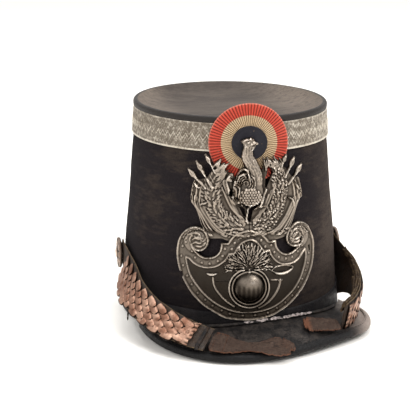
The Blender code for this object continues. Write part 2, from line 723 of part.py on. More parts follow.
def build():
    for old in list(bpy.data.objects):
        bpy.data.objects.remove(old)
    origin = bpy.data.objects.new("hat_origin", None)
    bpy.context.scene.collection.objects.link(origin)
    felt = material("black_felt", (0.018, 0.016, 0.017), 0.9)
    black_leather = material("black_leather", (0.03, 0.027, 0.026), 0.5)
    crown_leather = material("crown_leather", (0.16, 0.135, 0.115), 0.6)
    brown_leather = material("brown_leather", (0.12, 0.075, 0.05), 0.7)
    lace = material("silver_lace", (0.40, 0.37, 0.31), 0.5, 0.3)
    white_metal = material("white_metal", (0.36, 0.33, 0.30), 0.35, 1.0)
    copper = material("copper", (0.62, 0.36, 0.26), 0.35, 1.0)
    painted_tin = material("painted_tin", (0.55, 0.08, 0.05), 0.6)
    body_shell(felt, origin)
    crown_rim(crown_leather, origin)
    crown_top(crown_leather, origin)
    galloon_band(lace, origin)
    base_band(black_leather, origin)
    peak(black_leather, origin)
    peak_binding(black_leather, origin)
    peak_seam_welt(black_leather, origin)
    front_plate(white_metal, origin)
    cockade(painted_tin, origin)
    for side, rows, loose_rows, azimuth in (
            ("left", STRAP_LEFT, TIE_LEFT, -BOSS_AZIMUTH),
            ("right", STRAP_RIGHT, TIE_RIGHT, BOSS_AZIMUTH)):
        strap("strap_" + side, rows, brown_leather, origin)
        scales("scales_" + side, rows, copper, origin)
        boss("boss_" + side, azimuth, copper, origin)
        tie("tie_" + side, loose_rows, brown_leather, origin)
    strap_thong(brown_leather, origin)
    settle(origin)


build()
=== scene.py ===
"""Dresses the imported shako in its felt, leather, lace, paint and stamped metal.

Tables and distances are in millimetres and in the hat's own frame: +Z is up, the front faces -Y and +X is
on the right of someone who looks at the front. An azimuth is an angle in degrees round the hat from the
front, and a stand-off is a distance straight out from the felt wall.
"""
import math
import random

import bmesh
import bpy
import numpy as np
from mathutils import Matrix, Vector, noise


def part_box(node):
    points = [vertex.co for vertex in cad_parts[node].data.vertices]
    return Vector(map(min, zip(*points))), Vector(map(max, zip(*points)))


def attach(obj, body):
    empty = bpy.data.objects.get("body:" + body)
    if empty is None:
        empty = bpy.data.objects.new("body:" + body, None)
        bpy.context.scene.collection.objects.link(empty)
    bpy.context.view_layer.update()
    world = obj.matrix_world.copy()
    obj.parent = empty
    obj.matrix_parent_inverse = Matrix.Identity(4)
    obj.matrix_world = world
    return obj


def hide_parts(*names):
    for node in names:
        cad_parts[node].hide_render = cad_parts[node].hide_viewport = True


bl_info = {
    "name": "Shako hat",
    "version": (1, 0, 0),
    "blender": (4, 5, 0),
    "location": "View3D > Sidebar > Shako",
    "description": "Builds the felt, leather, lace and stamped metal of a shako on its packed model",
    "category": "Object",
}

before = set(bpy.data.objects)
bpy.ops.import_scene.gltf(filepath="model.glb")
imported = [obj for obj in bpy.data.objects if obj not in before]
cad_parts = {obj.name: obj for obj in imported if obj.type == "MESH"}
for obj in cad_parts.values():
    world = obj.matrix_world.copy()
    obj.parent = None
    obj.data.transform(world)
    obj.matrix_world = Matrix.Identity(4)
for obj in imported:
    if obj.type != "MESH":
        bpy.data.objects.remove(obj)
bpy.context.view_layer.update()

MM = 0.001
SHELL_LOW, SHELL_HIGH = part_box("body_shell")
HAT_CENTRE = np.array(((SHELL_LOW.x + SHELL_HIGH.x) / 2, (SHELL_LOW.y + SHELL_HIGH.y) / 2, 0.0))

# The felt wall's outline: height, half of its width and half of its depth
WALL = (
    (0.0, 84.5, 98.0), (30.0, 83.4, 96.7), (60.0, 81.3, 94.3), (100.0, 77.6, 90.2),
    (140.0, 74.2, 86.8), (164.0, 72.6, 85.2),
)
FELT = 2.5
SHELL_TOP = 160.2
LACE_BOTTOM = 139.8
BAND_TOP = 22.5
BAND_LEATHER = 1.5
PEAK_LEATHER = 2.4
BINDING_GRIP = 5.0
WELT_RADIUS = 1.2
STRAP_LEATHER = 1.6
STRAP_HALF_WIDTH = 10.5
BOSS_AZIMUTH = 91.0
BOSS_HEIGHT = 44.5
GAP = 0.3

# The peak: azimuth, height of its seam on the body, reach out from the felt, height of its edge
PEAK = (
    (-63.0, 5.0, 5.0, 4.0), (-53.0, 6.0, 12.0, 3.6), (-43.0, 7.0, 22.0, 3.4),
    (-34.0, 8.0, 32.0, 3.4), (-25.0, 9.0, 41.0, 3.4), (-16.0, 10.5, 47.0, 3.6),
    (-7.0, 12.5, 48.0, 3.8), (2.0, 14.0, 45.5, 4.2), (11.0, 14.5, 42.0, 5.0),
    (20.0, 14.0, 39.5, 5.6), (29.0, 12.5, 39.5, 6.0), (38.0, 10.5, 40.5, 5.8),
    (46.0, 9.0, 36.0, 5.4), (54.0, 7.5, 27.5, 4.8), (61.0, 6.0, 17.0, 4.3), (68.0, 5.0, 5.0, 4.0),
)

# The straps: azimuth, height, stand-off, lean of the ribbon away from the body
STRAP_LEFT = (
    (-97.0, 44.9, 2.0, 0.0), (-91.0, 44.5, 2.2, 0.0), (-84.0, 43.0, 2.8, 2.0),
    (-76.0, 40.0, 4.8, 14.0), (-67.0, 35.8, 8.8, 30.0), (-56.0, 30.0, 15.6, 42.0),
    (-46.0, 24.8, 21.6, 47.0), (-37.0, 21.2, 27.0, 50.0), (-29.0, 18.1, 32.0, 55.0),
    (-22.0, 15.4, 35.6, 60.0), (-18.0, 13.9, 37.2, 62.0),
)
STRAP_RIGHT = (
    (99.0, 45.5, 2.0, 0.0), (91.0, 44.5, 2.2, 0.0), (84.0, 41.0, 3.0, -1.0),
    (75.0, 34.5, 7.6, -16.0), (67.0, 29.5, 12.0, -24.0), (59.0, 25.8, 17.0, -20.0),
    (50.0, 23.2, 22.8, -12.0), (41.0, 21.5, 28.5, -11.0), (34.0, 20.4, 32.6, -13.0),
    (28.6, 19.4, 34.8, -16.0),
)
# The loose ends: azimuth, height, stand-off, lean, half-width, thickness
TIE_LEFT = (
    (-17.2, 13.5, 37.6, 62.6, 9.2, 3.0), (-13.4, 12.3, 38.8, 65.0, 9.4, 3.0),
    (-12.4, 12.0, 39.1, 66.5, 8.8, 1.6), (-9.0, 11.2, 40.0, 70.0, 6.5, 1.6),
    (-6.0, 10.8, 40.6, 72.0, 5.0, 1.8), (-3.0, 10.6, 41.2, 74.0, 6.5, 1.6),
    (0.5, 10.4, 42.2, 68.0, 8.5, 1.6), (4.0, 10.4, 42.0, 66.0, 9.0, 1.6),
    (6.0, 10.6, 41.0, 66.0, 7.0, 1.6), (7.2, 10.8, 40.0, 66.0, 3.0, 1.6),
)
TIE_RIGHT = (
    (27.6, 14.4, 32.0, 70.0, 5.5, 1.6), (25.6, 14.4, 30.0, 72.0, 7.0, 1.6),
    (23.0, 14.6, 27.0, 72.0, 7.6, 1.6), (20.0, 15.2, 23.6, 72.0, 8.2, 1.6),
    (17.5, 15.6, 21.0, 72.0, 8.0, 1.6), (16.2, 15.8, 19.8, 72.0, 4.5, 1.6),
)
THONG_AZIMUTH = -53.0
THONG_LENGTH = 11.0

# The plate, drawn flat: u runs along the wall from the plate's middle, v is the height
PLATE_AZIMUTH = -2.9
PLATE_REFERENCE = (83.3, 96.3)
PLATE_STAND_OFF = 1.9
PLATE_LIFT = 3.2
PLATE_LIFT_FROM = 84.0
PLATE_LIFT_TO = 117.0
PLATE_SHEET = 1.2
# The plate's drawing is as seen from a little to the left, on a front that bends about this tightly
VIEW_SWING = 12.0
VIEW_BEND = 85.0
RIM_LEFT = (
    (-17.5, 19.4), (-20.7, 20.8), (-27.5, 24.5), (-33.8, 28.1), (-39.3, 32.7), (-43.8, 37.2),
    (-47.9, 42.6), (-51.1, 47.6), (-53.8, 53.1), (-55.6, 59.0), (-56.4, 64.4), (-56.1, 69.9),
    (-54.7, 74.8), (-52.0, 78.9), (-48.3, 82.1), (-44.3, 84.1), (-40.2, 84.7), (-36.6, 83.9),
    (-33.8, 82.1), (-32.0, 79.4), (-31.0, 76.2), (-31.5, 73.0), (-32.9, 70.3), (-35.2, 68.7),
    (-37.9, 68.0), (-40.6, 68.6), (-42.7, 70.1),
)
SWOOP_LEFT = (
    (-44.0, 72.1), (-42.9, 69.9), (-41.1, 67.4), (-38.4, 64.9), (-34.7, 63.1), (-31.1, 62.8),
    (-27.5, 63.5), (-24.3, 65.1), (-22.1, 67.6), (-20.9, 70.8), (-20.6, 73.9),
)
ARCH = (
    (-15.5, 74.2), (-13.9, 76.7), (-11.2, 79.8), (-7.5, 82.1), (-3.0, 83.3), (0.0, 83.6),
    (2.6, 83.0), (6.7, 81.7), (10.3, 79.4), (13.1, 76.7), (15.1, 74.4),
)
SWOOP_RIGHT = (
    (20.3, 74.8), (20.5, 72.4), (21.7, 69.4), (23.9, 66.7), (27.1, 64.6), (30.7, 63.9),
    (34.4, 64.5), (37.5, 66.0), (40.9, 68.0),
)
RIM_RIGHT = (
    (18.0, 20.6), (27.6, 25.2), (32.1, 27.9), (37.1, 31.5), (42.1, 35.8), (46.6, 40.4), (50.7, 45.8),
    (53.9, 50.8), (56.1, 56.3), (57.5, 62.6), (57.9, 68.5), (57.0, 73.0), (54.8, 77.6), (51.6, 81.7),
    (47.5, 84.6), (43.4, 86.0), (39.4, 86.0), (35.7, 84.1), (33.0, 81.7), (31.2, 78.5), (30.5, 75.3),
    (31.6, 72.1), (34.4, 69.9), (38.0, 69.0), (41.6, 69.6), (43.9, 71.7), (44.3, 74.4), (42.8, 76.3),
)
RIM_BOTTOM = ((-17.5, 19.4), (-8.0, 18.3), (0.0, 18.0), (9.0, 18.6), (18.0, 20.6))
FIELD_TOP_LEFT = (
    (-48.6, 61.9), (-45.6, 61.2), (-42.9, 59.0), (-39.3, 57.2), (-34.7, 56.0), (-30.2, 56.0),
    (-25.7, 56.9), (-21.6, 59.0), (-18.4, 61.7), (-16.4, 64.4), (-15.0, 66.9),
)
FIELD_ARCH = (
    (-11.2, 67.4), (-10.0, 69.4), (-8.5, 72.1), (-5.7, 74.8), (-2.1, 76.4), (0.0, 76.8), (2.2, 76.7),
    (5.8, 74.8), (8.5, 71.7), (11.2, 68.0),
)
FIELD_TOP_RIGHT = (
    (15.4, 68.3), (16.7, 64.9), (19.0, 61.7), (22.1, 59.0), (26.2, 57.2), (31.2, 56.7), (36.2, 57.2),
    (40.7, 59.4), (44.3, 62.6), (48.0, 65.3),
)
FIELD_LOW = (
    (-48.6, 61.9), (-47.9, 58.5), (-46.5, 54.0), (-44.3, 49.0), (-41.1, 44.5), (-37.5, 40.4),
    (-33.4, 36.3), (-28.9, 32.7), (-23.9, 29.5), (-18.4, 26.8), (-13.0, 25.0), (-7.5, 23.8),
    (0.0, 23.5), (6.7, 24.0), (11.2, 24.7), (16.7, 26.1), (23.0, 29.0), (28.9, 32.9), (34.4, 36.8),
    (38.4, 40.8), (42.1, 45.4), (44.8, 50.4), (47.1, 55.3), (48.4, 60.8), (48.0, 65.3),
)
BEADS = (
    (-43.6, 66.7), (-41.1, 62.4), (-35.6, 59.1), (-29.5, 58.9), (-23.4, 61.2), (-19.8, 65.1),
    (-18.2, 70.3), (-13.0, 70.4), (-10.9, 74.8), (-6.4, 78.4), (-49.0, 73.0), (-52.2, 69.4),
    (-52.9, 62.1), (-51.1, 55.3), (-47.2, 48.1), (-43.4, 42.0), (-38.4, 36.3), (-32.5, 31.8),
    (-27.0, 27.7), (-20.2, 24.5), (-14.3, 22.2), (-5.0, 20.8), (4.0, 20.8), (13.5, 22.0),
    (-0.6, 79.5), (4.2, 79.4), (9.2, 76.2), (12.2, 71.4), (17.1, 72.1), (19.4, 66.7), (23.0, 62.6),
    (28.9, 60.9), (34.8, 61.2), (40.5, 64.4), (44.8, 68.3), (52.3, 61.2), (50.7, 54.0),
    (47.7, 49.0), (43.9, 43.1), (39.8, 37.7), (33.9, 32.4), (27.6, 28.1), (20.6, 24.8),
)
HORN_LEFT = (
    (-26.9, 50.4), (-26.4, 45.4), (-25.0, 41.3), (-22.5, 37.7), (-19.3, 34.0), (-15.7, 30.9),
    (-11.2, 28.0),
)
HORN_RIGHT = (
    (23.3, 46.0), (23.0, 43.6), (21.7, 39.9), (19.4, 36.3), (16.2, 32.7), (12.2, 29.5), (6.7, 26.8),
)
BELL = (
    (16.7, 53.8), (19.9, 55.9), (25.3, 56.5), (30.3, 55.7), (34.8, 54.1), (31.2, 51.5), (26.7, 50.1),
    (22.1, 50.4), (18.5, 52.2),
)
BALL_CENTRE = (-0.3, 41.9)
BALL_RADIUS = 10.8
BALL_CREST = 5.0
RING_RADII = (12.3, 14.6)
FLAME_FOOT = (-0.6, 56.6)
FLAG_LEFT = (
    (-34.7, 83.5), (-37.0, 87.5), (-38.5, 91.9), (-40.7, 96.9), (-42.7, 100.0), (-45.4, 102.7),
    (-46.2, 106.2), (-45.6, 111.1), (-44.8, 115.6), (-43.2, 119.4),
)
FLAG_RIGHT = (
    (33.0, 82.1), (36.2, 88.0), (38.7, 93.7), (41.0, 98.6), (43.6, 103.6), (46.8, 104.9),
    (46.5, 108.9), (45.4, 113.8), (43.6, 119.6),
)
TROPHY_LEFT = FLAG_LEFT + (
    (-37.5, 120.0), (-33.0, 121.5), (-30.5, 125.0), (-28.0, 127.5), (-24.5, 129.5), (-21.0, 130.5),
    (-18.2, 129.5), (-18.6, 127.5), (-16.3, 125.9), (-12.6, 125.2),
    (-11.2, 122.7), (-6.0, 112.0), (-6.0, 104.0), (-2.4, 100.0), (0.0, 92.0), (0.0, 83.0),
    (-8.0, 81.0), (-14.0, 75.5), (-20.7, 77.8), (-30.2, 77.3), (-32.0, 81.2),
)
TROPHY_RIGHT = FLAG_RIGHT + (
    (38.5, 119.8), (36.0, 121.5), (34.0, 124.0), (31.0, 127.5), (27.0, 130.0), (22.0, 131.5),
    (17.0, 132.0), (12.8, 131.0), (10.6, 127.5), (9.0, 118.0),
    (8.0, 104.0), (3.4, 99.0), (0.0, 92.0), (0.0, 83.0), (8.0, 81.0), (14.0, 75.5), (21.2, 75.8),
    (28.5, 77.1), (29.8, 78.9),
)
SPEARS = (
    ((-33.5, 114.0), (-49.2, 126.5), 2.1), ((-28.0, 114.5), (-42.2, 132.6), 2.1),
    ((-26.0, 125.5), (-34.6, 137.6), 1.7), ((33.0, 115.5), (47.8, 128.6), 2.1),
    ((30.0, 121.0), (40.2, 134.2), 2.1), ((25.5, 127.0), (32.2, 136.4), 1.7),
)
BIRD = (
    (-6.9, 148.2), (-4.9, 149.6), (-2.1, 150.4), (1.3, 150.9), (4.1, 150.2), (4.7, 148.7),
    (7.8, 147.0), (5.8, 144.8), (3.6, 142.2), (3.8, 140.2), (3.6, 138.3), (5.8, 135.1), (8.4, 130.0),
    (10.7, 125.8), (12.9, 122.4), (12.9, 119.5), (12.1, 115.9), (10.7, 112.0), (8.7, 105.5),
    (5.8, 103.2), (3.0, 101.8), (0.2, 101.5), (-3.2, 102.3), (-6.6, 104.3), (-8.9, 107.2),
    (-12.6, 106.0), (-12.8, 112.0), (-11.5, 118.7), (-10.6, 121.5), (-9.8, 124.9), (-7.2, 128.0),
    (-3.8, 129.5), (-4.1, 131.5), (-5.2, 134.3), (-5.9, 137.7), (-5.2, 141.4), (-4.4, 143.9),
    (-4.4, 145.3),
)
PIERCINGS = (
    ((-7.8, 101.2), (-5.2, 100.8), (-3.1, 99.4), (-2.8, 94.1), (-4.2, 94.1), (-6.6, 98.7)),
    ((0.2, 98.1), (3.1, 97.8), (1.9, 93.0), (0.9, 90.2), (-1.0, 91.3)),
    ((-14.2, 114.5), (-12.3, 112.0), (-13.2, 109.3), (-15.0, 109.7)),
    ((15.2, 129.8), (17.7, 128.0), (19.0, 126.3), (18.0, 122.4), (16.0, 117.8), (14.1, 114.2),
     (12.8, 115.0), (13.2, 121.5), (14.9, 124.9)),
    ((52.0, 67.2), (54.2, 67.6), (54.0, 62.9), (52.7, 62.9)),
    ((-53.2, 50.6), (-51.6, 51.2), (-50.6, 47.6), (-52.2, 46.8)),
)
LEG = ((0.7, 102.4), (-1.1, 99.2), (-1.5, 95.8), (-2.1, 93.0), (-1.3, 89.6))

# The zigzag lines of the lace: middle height, swing, half-width, rise and repeats in a period
LACE_LINES = (
    (9.6, 4.2, 0.62, 1.0, 1), (12.6, 4.2, 0.40, 0.62, 1), (6.6, 4.2, 0.40, 0.62, 1),
    (16.6, 2.2, 0.38, 0.55, 2), (3.4, 2.0, 0.38, 0.6, 2),
)

# The cockade's place, its stretch sideways and the radii of its three rings
COCKADE_HEIGHT = 146.7
COCKADE_ACROSS = 0.4
COCKADE_STRETCH = 1.14
COCKADE_STAND_OFF = 2.0
COCKADE_RADIUS = 28.4
CREAM_RADIUS = 19.7
BLUE_RADIUS = 11.9


def srgb(red, green, blue):
    """A linear colour from the usual 0 to 255 values."""
    linear = []
    for value in (red, green, blue):
        share = value / 255.0
        linear.append(share / 12.92 if share < 0.04045 else ((share + 0.055) / 1.055) ** 2.4)
    return tuple(linear)


def wall_half_sizes(height):
    heights, widths, depths = zip(*WALL)
    return np.interp(height, heights, widths), np.interp(height, heights, depths)


def wall_place(azimuth, height, stand_off=0.0):
    """Points at azimuths, heights and stand-offs, which may be arrays of one shape."""
    turn = np.radians(azimuth)
    half_width, half_depth = wall_half_sizes(height)
    reach = 1.0 / np.hypot(np.sin(turn) / half_width, np.cos(turn) / half_depth) + stand_off
    return np.stack(np.broadcast_arrays(reach * np.sin(turn), -reach * np.cos(turn), height), axis=-1)


def wall_out(azimuth, height):
    point = wall_place(azimuth, height)
    half_width, half_depth = wall_half_sizes(height)
    return Vector((point[0] / half_width ** 2, point[1] / half_depth ** 2, 0.0)).normalized()


def smooth_rows(rows, count):
    """Rows read from a smooth curve through the given rows, evenly by row number."""
    table = np.array(rows, dtype=float)
    padded = np.vstack([2 * table[0] - table[1], table, 2 * table[-1] - table[-2]])
    place = np.linspace(0.0, len(table) - 1, count)
    start = np.minimum(place.astype(int), len(table) - 2)
    part = (place - start)[:, None]
    before, first, second, after = (padded[start + step] for step in range(4))
    return 0.5 * (2 * first + (second - before) * part
                  + (2 * before - 5 * first + 4 * second - after) * part ** 2
                  + (3 * first - before - 3 * second + after) * part ** 3)


def lumps(points, size, seed=0.0):
    """Smooth random values from -1 to 1 at points, in patches of about the given size."""
    flat = np.asarray(points, dtype=float).reshape(-1, 3) / size + seed
    values = [noise.noise(Vector(point)) for point in flat.tolist()]
    return np.array(values).reshape(np.asarray(points).shape[:-1])


def grid_faces(rows, columns, around=False, across=False):
    """Quads of a grid of points and the column and row of each of their corners.

    around joins the last column to the first, and across the last row to the first.
    """
    row, column = np.mgrid[0:rows if across else rows - 1, 0:columns if around else columns - 1]
    steps = ((0, 0), (0, 1), (1, 1), (1, 0))
    faces = [((row + down) % rows) * columns + (column + along) % columns for down, along in steps]
    places = [np.stack([column + along, row + down], axis=-1) for down, along in steps]
    return np.stack(faces, axis=-1).reshape(-1, 4), np.stack(places, axis=-2).reshape(-1, 2)


def tube_faces(rows, columns):
    """Faces of a tube of equal rings that is closed flat at both ends."""
    faces = grid_faces(rows, columns, around=True)[0].tolist()
    return faces + [tuple(range(columns)), tuple(range((rows - 1) * columns, rows * columns))]


def turned_faces(rows, columns):
    """Faces of a turned solid: its rings, then one point beyond the first and one beyond the last."""
    faces = grid_faces(rows, columns, around=True)[0].tolist()
    first, last, end = rows * columns, rows * columns + 1, (rows - 1) * columns
    for column in range(columns):
        after = (column + 1) % columns
        faces += [(first, after, column), (last, end + column, end + after)]
    return faces


def sheet_faces(top, count):
    """Faces of a thick sheet: its top, the same below, count points on, and walls along its edges."""
    faces = top + [[count + index for index in face[::-1]] for face in top]
    sides = {side: True for face in top for side in zip(face, face[1:] + face[:1])}
    walls = [(end, start, count + start, count + end) for start, end in sides if (end, start) not in sides]
    return faces + walls


def show(name, data):
    """A new object at the origin that is part of the scene."""
    made = bpy.data.objects.new(name, data)
    bpy.context.scene.collection.objects.link(made)
    return made


def show_smooth(name, mesh, smooth_below):
    mesh.shade_smooth()
    mesh.set_sharp_from_angle(angle=math.radians(smooth_below))
    return show(name, mesh)


def closed_mesh(name, points, faces, values=None, uv=None):
    """A mesh from points in metres whose faces all point outwards, with point values and UVs."""
    mesh = bpy.data.meshes.new(name)
    mesh.from_pydata(points.tolist(), [], faces)
    if uv is not None:
        layer = mesh.uv_layers.new(name="Pattern")
        layer.data.foreach_set("uv", np.asarray(uv, dtype=np.float32).ravel())
    for label, numbers in (values or {}).items():
        set_values(mesh, label, numbers)
    bm = bmesh.new()
    bm.from_mesh(mesh)
    bmesh.ops.recalc_face_normals(bm, faces=bm.faces)
    bm.to_mesh(mesh)
    bm.free()
    return mesh


def set_values(mesh, label, numbers):
    attribute = mesh.attributes.new(label, "FLOAT", "POINT")
    attribute.data.foreach_set("value", np.asarray(numbers, dtype=np.float32).ravel())


def new_piece(name, points, faces, material, smooth_below=40.0, uv=None, values=None):
    """A mesh object at the origin from points in the hat's frame."""
    places = np.asarray(points, dtype=float).reshape(-1, 3) * MM + HAT_CENTRE
    mesh = closed_mesh(name, places, faces, values, uv)
    mesh.materials.append(material)
    return show_smooth(name, mesh, smooth_below)


def set_on_hat(piece, slot, *nodes):
    """Makes a finished piece part of the hat and lets it stand for the named solids."""
    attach(piece, "root")
    if nodes:
        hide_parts(*nodes)


class Socket:
    """An output in a shader tree: arithmetic on it adds the Math nodes."""

    def __init__(self, finish, output):
        self.finish = finish
        self.output = output

    def __add__(self, other):
        return self.finish.maths("ADD", self, other)

    def __sub__(self, other):
        return self.finish.maths("SUBTRACT", self, other)

    def __rsub__(self, other):
        return self.finish.maths("SUBTRACT", other, self)

    def __mul__(self, other):
        return self.finish.maths("MULTIPLY", self, other)

    __radd__ = __add__
    __rmul__ = __mul__


class Finish:
    """One material and the ways to add nodes to it."""

    def __init__(self, name, **fixed):
        self.material = bpy.data.materials.new(name)
        self.material.use_nodes = True
        self.tree = self.material.node_tree
        self.shader = self.tree.nodes["Principled BSDF"]
        for label, value in fixed.items():
            self.shader.inputs[label.replace("_", " ")].default_value = value

    def node(self, kind, settings, sockets, output=0):
        """One node: its settings first, then the values or links of its sockets."""
        made = self.tree.nodes.new("ShaderNode" + kind)
        for label, value in settings.items():
            setattr(made, label, value)
        for label, value in sockets.items():
            self.join(value, made.inputs[label])
        return Socket(self, made.outputs[output])

    def join(self, value, target):
        if isinstance(value, Socket):
            self.tree.links.new(value.output, target)
        elif target.type == "RGBA":
            target.default_value = (*value, 1.0)
        else:
            target.default_value = value

    def maths(self, operation, *values):
        return self.node("Math", {"operation": operation}, dict(enumerate(values)))

    def place(self):
        return self.node("TexCoord", {}, {}, "Object")

    def pattern(self):
        return self.node("UVMap", {"uv_map": "Pattern"}, {})

    def value(self, label):
        return self.node("Attribute", {"attribute_name": label}, {}, "Fac")

    def stretched(self, vector, scale):
        return self.node("VectorMath", {"operation": "MULTIPLY"}, {0: vector, 1: scale})

    def split(self, vector):
        parts = self.tree.nodes.new("ShaderNodeSeparateXYZ")
        self.join(vector, parts.inputs[0])
        return [Socket(self, output) for output in parts.outputs]

    def noise(self, vector, scale, detail, roughness):
        sockets = {"Vector": vector, "Scale": scale, "Detail": detail, "Roughness": roughness}
        return self.node("TexNoise", {}, sockets)

    def cells(self, vector, scale, feature="F1"):
        return self.node("TexVoronoi", {"feature": feature}, {"Vector": vector, "Scale": scale}, "Distance")

    def step(self, value, low, high, start=0.0, end=1.0):
        """A smooth change from start to end as the value goes from low to high."""
        sockets = {0: value, 1: low, 2: high, 3: start, 4: end}
        return self.node("MapRange", {"interpolation_type": "SMOOTHSTEP"}, sockets)

    def blend(self, share, first, second, way="MIX"):
        settings = {"data_type": "RGBA", "blend_type": way}
        return self.node("Mix", settings, {0: share, 6: first, 7: second}, 2)

    def bump(self, height, depth):
        """A normal from a height; depth is what a height of 1 stands for, in metres."""
        return self.node("Bump", {}, {"Height": height, "Distance": depth, "Strength": 1.0})

    def finish(self, **linked):
        for label, value in linked.items():
            self.join(value, self.shader.inputs[label.replace("_", " ")])
        return self.material


def felt_finish(felt):
    """Napped felt, black where it is whole and brown where it is rubbed, with painted light over its right
    side and painted shade low down.
    """
    made = Finish("black_felt_finish", Roughness=1.0, Specular_IOR_Level=0.08)
    place = made.place()
    broad = made.noise(place, 14.0, 5.0, 0.6)
    bands = made.noise(made.stretched(place, (0.25, 0.25, 1.0)), 260.0, 4.0, 0.65)
    nap = made.noise(place, 1100.0, 3.0, 0.7)
    across, _, height = made.split(place)
    # Brown rubbed patches, pushed onto the right side by painted light from the right.
    rubbed = made.step(broad + 0.8 * (bands - 0.5) + 1.6 * made.maths("MAXIMUM", across, 0.0), 0.50, 0.74)
    colour = made.blend(rubbed, felt.colour, felt.worn_colour)
    # Painted light: the right side turns a lighter brown, broken up by streaks in the nap.
    painted_light = made.step(across + 0.05 * (broad - 0.5), 0.036, 0.085) * made.step(bands, 0.3, 0.6, 0.55, 1.0)
    colour = made.blend(painted_light, colour, felt.painted_light_nap_colour)
    colour = made.blend(0.6 * (1 - made.step(nap, 0.3, 0.62)), colour, felt.shade_colour, "MULTIPLY")
    # Painted shade: the felt darkens towards the bottom.
    low = 1 - made.step(height, 0.024, 0.075)
    colour = made.blend(0.45 * low, colour, felt.shade_colour, "MULTIPLY")
    return made.finish(Base_Color=colour, Normal=made.bump(bands + 0.8 * nap, 0.0008))


def hide_finish(leather, name, colour, worn, grain=900.0, shine=0.45, crack=0.5, patch=40.0, raw="", glow=""):
    """Old leather: patches of wear, fine grain and cracks.

    colour and worn name two of the leather's colours. So do raw, for raw leather where the value "raw" is 1,
    and glow, for a painted highlight over the right side.
    """
    def tint(label):
        return getattr(leather, label + "_colour")

    made = Finish(name + "_finish", Specular_IOR_Level=0.18)
    place = made.place()
    broad = made.noise(place, patch, 6.0, 0.62)
    fine = made.noise(place, 5.0 * patch, 5.0, 0.7)
    pores = made.cells(place, grain)
    cracks = 1 - made.step(made.cells(made.stretched(place, (1.0, 1.3, 1.0)), 0.28 * grain,
                                      "DISTANCE_TO_EDGE"), 0.0, 0.06)
    wear = made.step(broad * 0.6 + fine * 0.5, 0.46, 0.68)
    shade = made.blend(wear, tint(colour), tint(worn))
    shade = made.blend(made.step(fine, 0.52, 0.75) * 0.55, shade, leather.dark_colour)
    shade = made.blend(cracks * crack, shade, leather.dark_colour)
    if raw:
        bare = made.step(made.value("raw") + 0.9 * (fine - 0.5), 0.45, 0.8)
        shade = made.blend(bare, shade, tint(raw))
    # Painted highlight: glow makes the right side lighter.
    if glow:
        lit = made.step(made.split(place)[0] + 0.012 * (broad - 0.5), 0.066, 0.088)
        shade = made.blend(lit, shade, tint(glow))
    height = 0.5 * fine + 0.4 * made.step(pores, 0.0, 0.5) - 0.8 * crack * cracks
    rough = shine + 0.3 * made.step(fine, 0.35, 0.7) - 0.08 * wear
    return made.finish(Base_Color=shade, Roughness=rough, Normal=made.bump(height, 0.0004))


def crown_finish(crown):
    """The top's leather, with dust in the bowl, painted shade along its front and black on its rolled rim."""
    made = Finish("crown_leather_finish", Specular_IOR_Level=0.2)
    place = made.place()
    across, depth = made.split(place)[:2]
    long = made.stretched(place, (0.3, 1.0, 1.0))
    broad = made.noise(long, 60.0, 6.0, 0.65)
    fine = made.noise(long, 520.0, 5.0, 0.75)
    colour = made.blend(made.step(broad * 0.5 + fine * 0.5, 0.38, 0.62), crown.colour,
                        crown.worn_colour)
    side = made.step(made.maths("ABSOLUTE", across) + 0.02 * (broad - 0.5), 0.026, 0.062)
    colour = made.blend(0.8 * side * made.step(fine, 0.25, 0.6), colour, crown.rubbed_colour)
    # Painted shade: the bowl darkens along its front, below the standing rim.
    front = 1 - made.step(depth + 0.02 * (broad - 0.5), -0.078, -0.02)
    colour = made.blend(0.6 * front, colour, crown.dark_colour)
    edge = made.value("rolled")
    colour = made.blend(0.95 * edge, colour, crown.dark_colour)
    rough = 0.6 + 0.25 * fine - 0.18 * edge
    return made.finish(Base_Color=colour, Roughness=rough, Normal=made.bump(fine + broad, 0.0004))


def lace_finish(lace):
    """Woven metal thread: ribs, dull hollows and bright ridges."""
    made = Finish("silver_lace_finish", Specular_IOR_Level=0.5)
    place = made.place()
    along, up = made.split(made.pattern())[:2]
    warp = made.maths("SINE", along * (2 * math.pi / 0.62))
    weft = made.maths("SINE", up * (2 * math.pi / 0.8))
    threads = 0.5 + 0.25 * warp + 0.25 * weft
    mottle = made.noise(place, 330.0, 5.0, 0.8)
    specks = made.step(made.noise(place, 1300.0, 2.0, 0.6), 0.50, 0.66)
    stains = made.step(made.noise(place, 55.0, 5.0, 0.65), 0.42, 0.7)
    # Lighter towards the right side, by position alone.
    rubbed = 0.14 * made.step(made.split(place)[0], 0.02, 0.06)
    tone = made.step(0.8 * made.value("ridge") + 2.5 * (mottle - 0.5) + 0.15 * threads + rubbed, -0.05, 0.85)
    colour = made.blend(tone, lace.hollow_colour, lace.colour)
    colour = made.blend(stains * 0.4, colour, lace.stain_colour, "MULTIPLY")
    colour = made.blend(0.55 * specks * (1 - 0.7 * made.value("ridge")), colour, lace.hollow_colour)
    rough = 0.62 - 0.22 * tone
    return made.finish(Base_Color=colour, Roughness=rough, Metallic=0.2 * tone,
                       Normal=made.bump(threads + 0.8 * mottle, 0.00022))


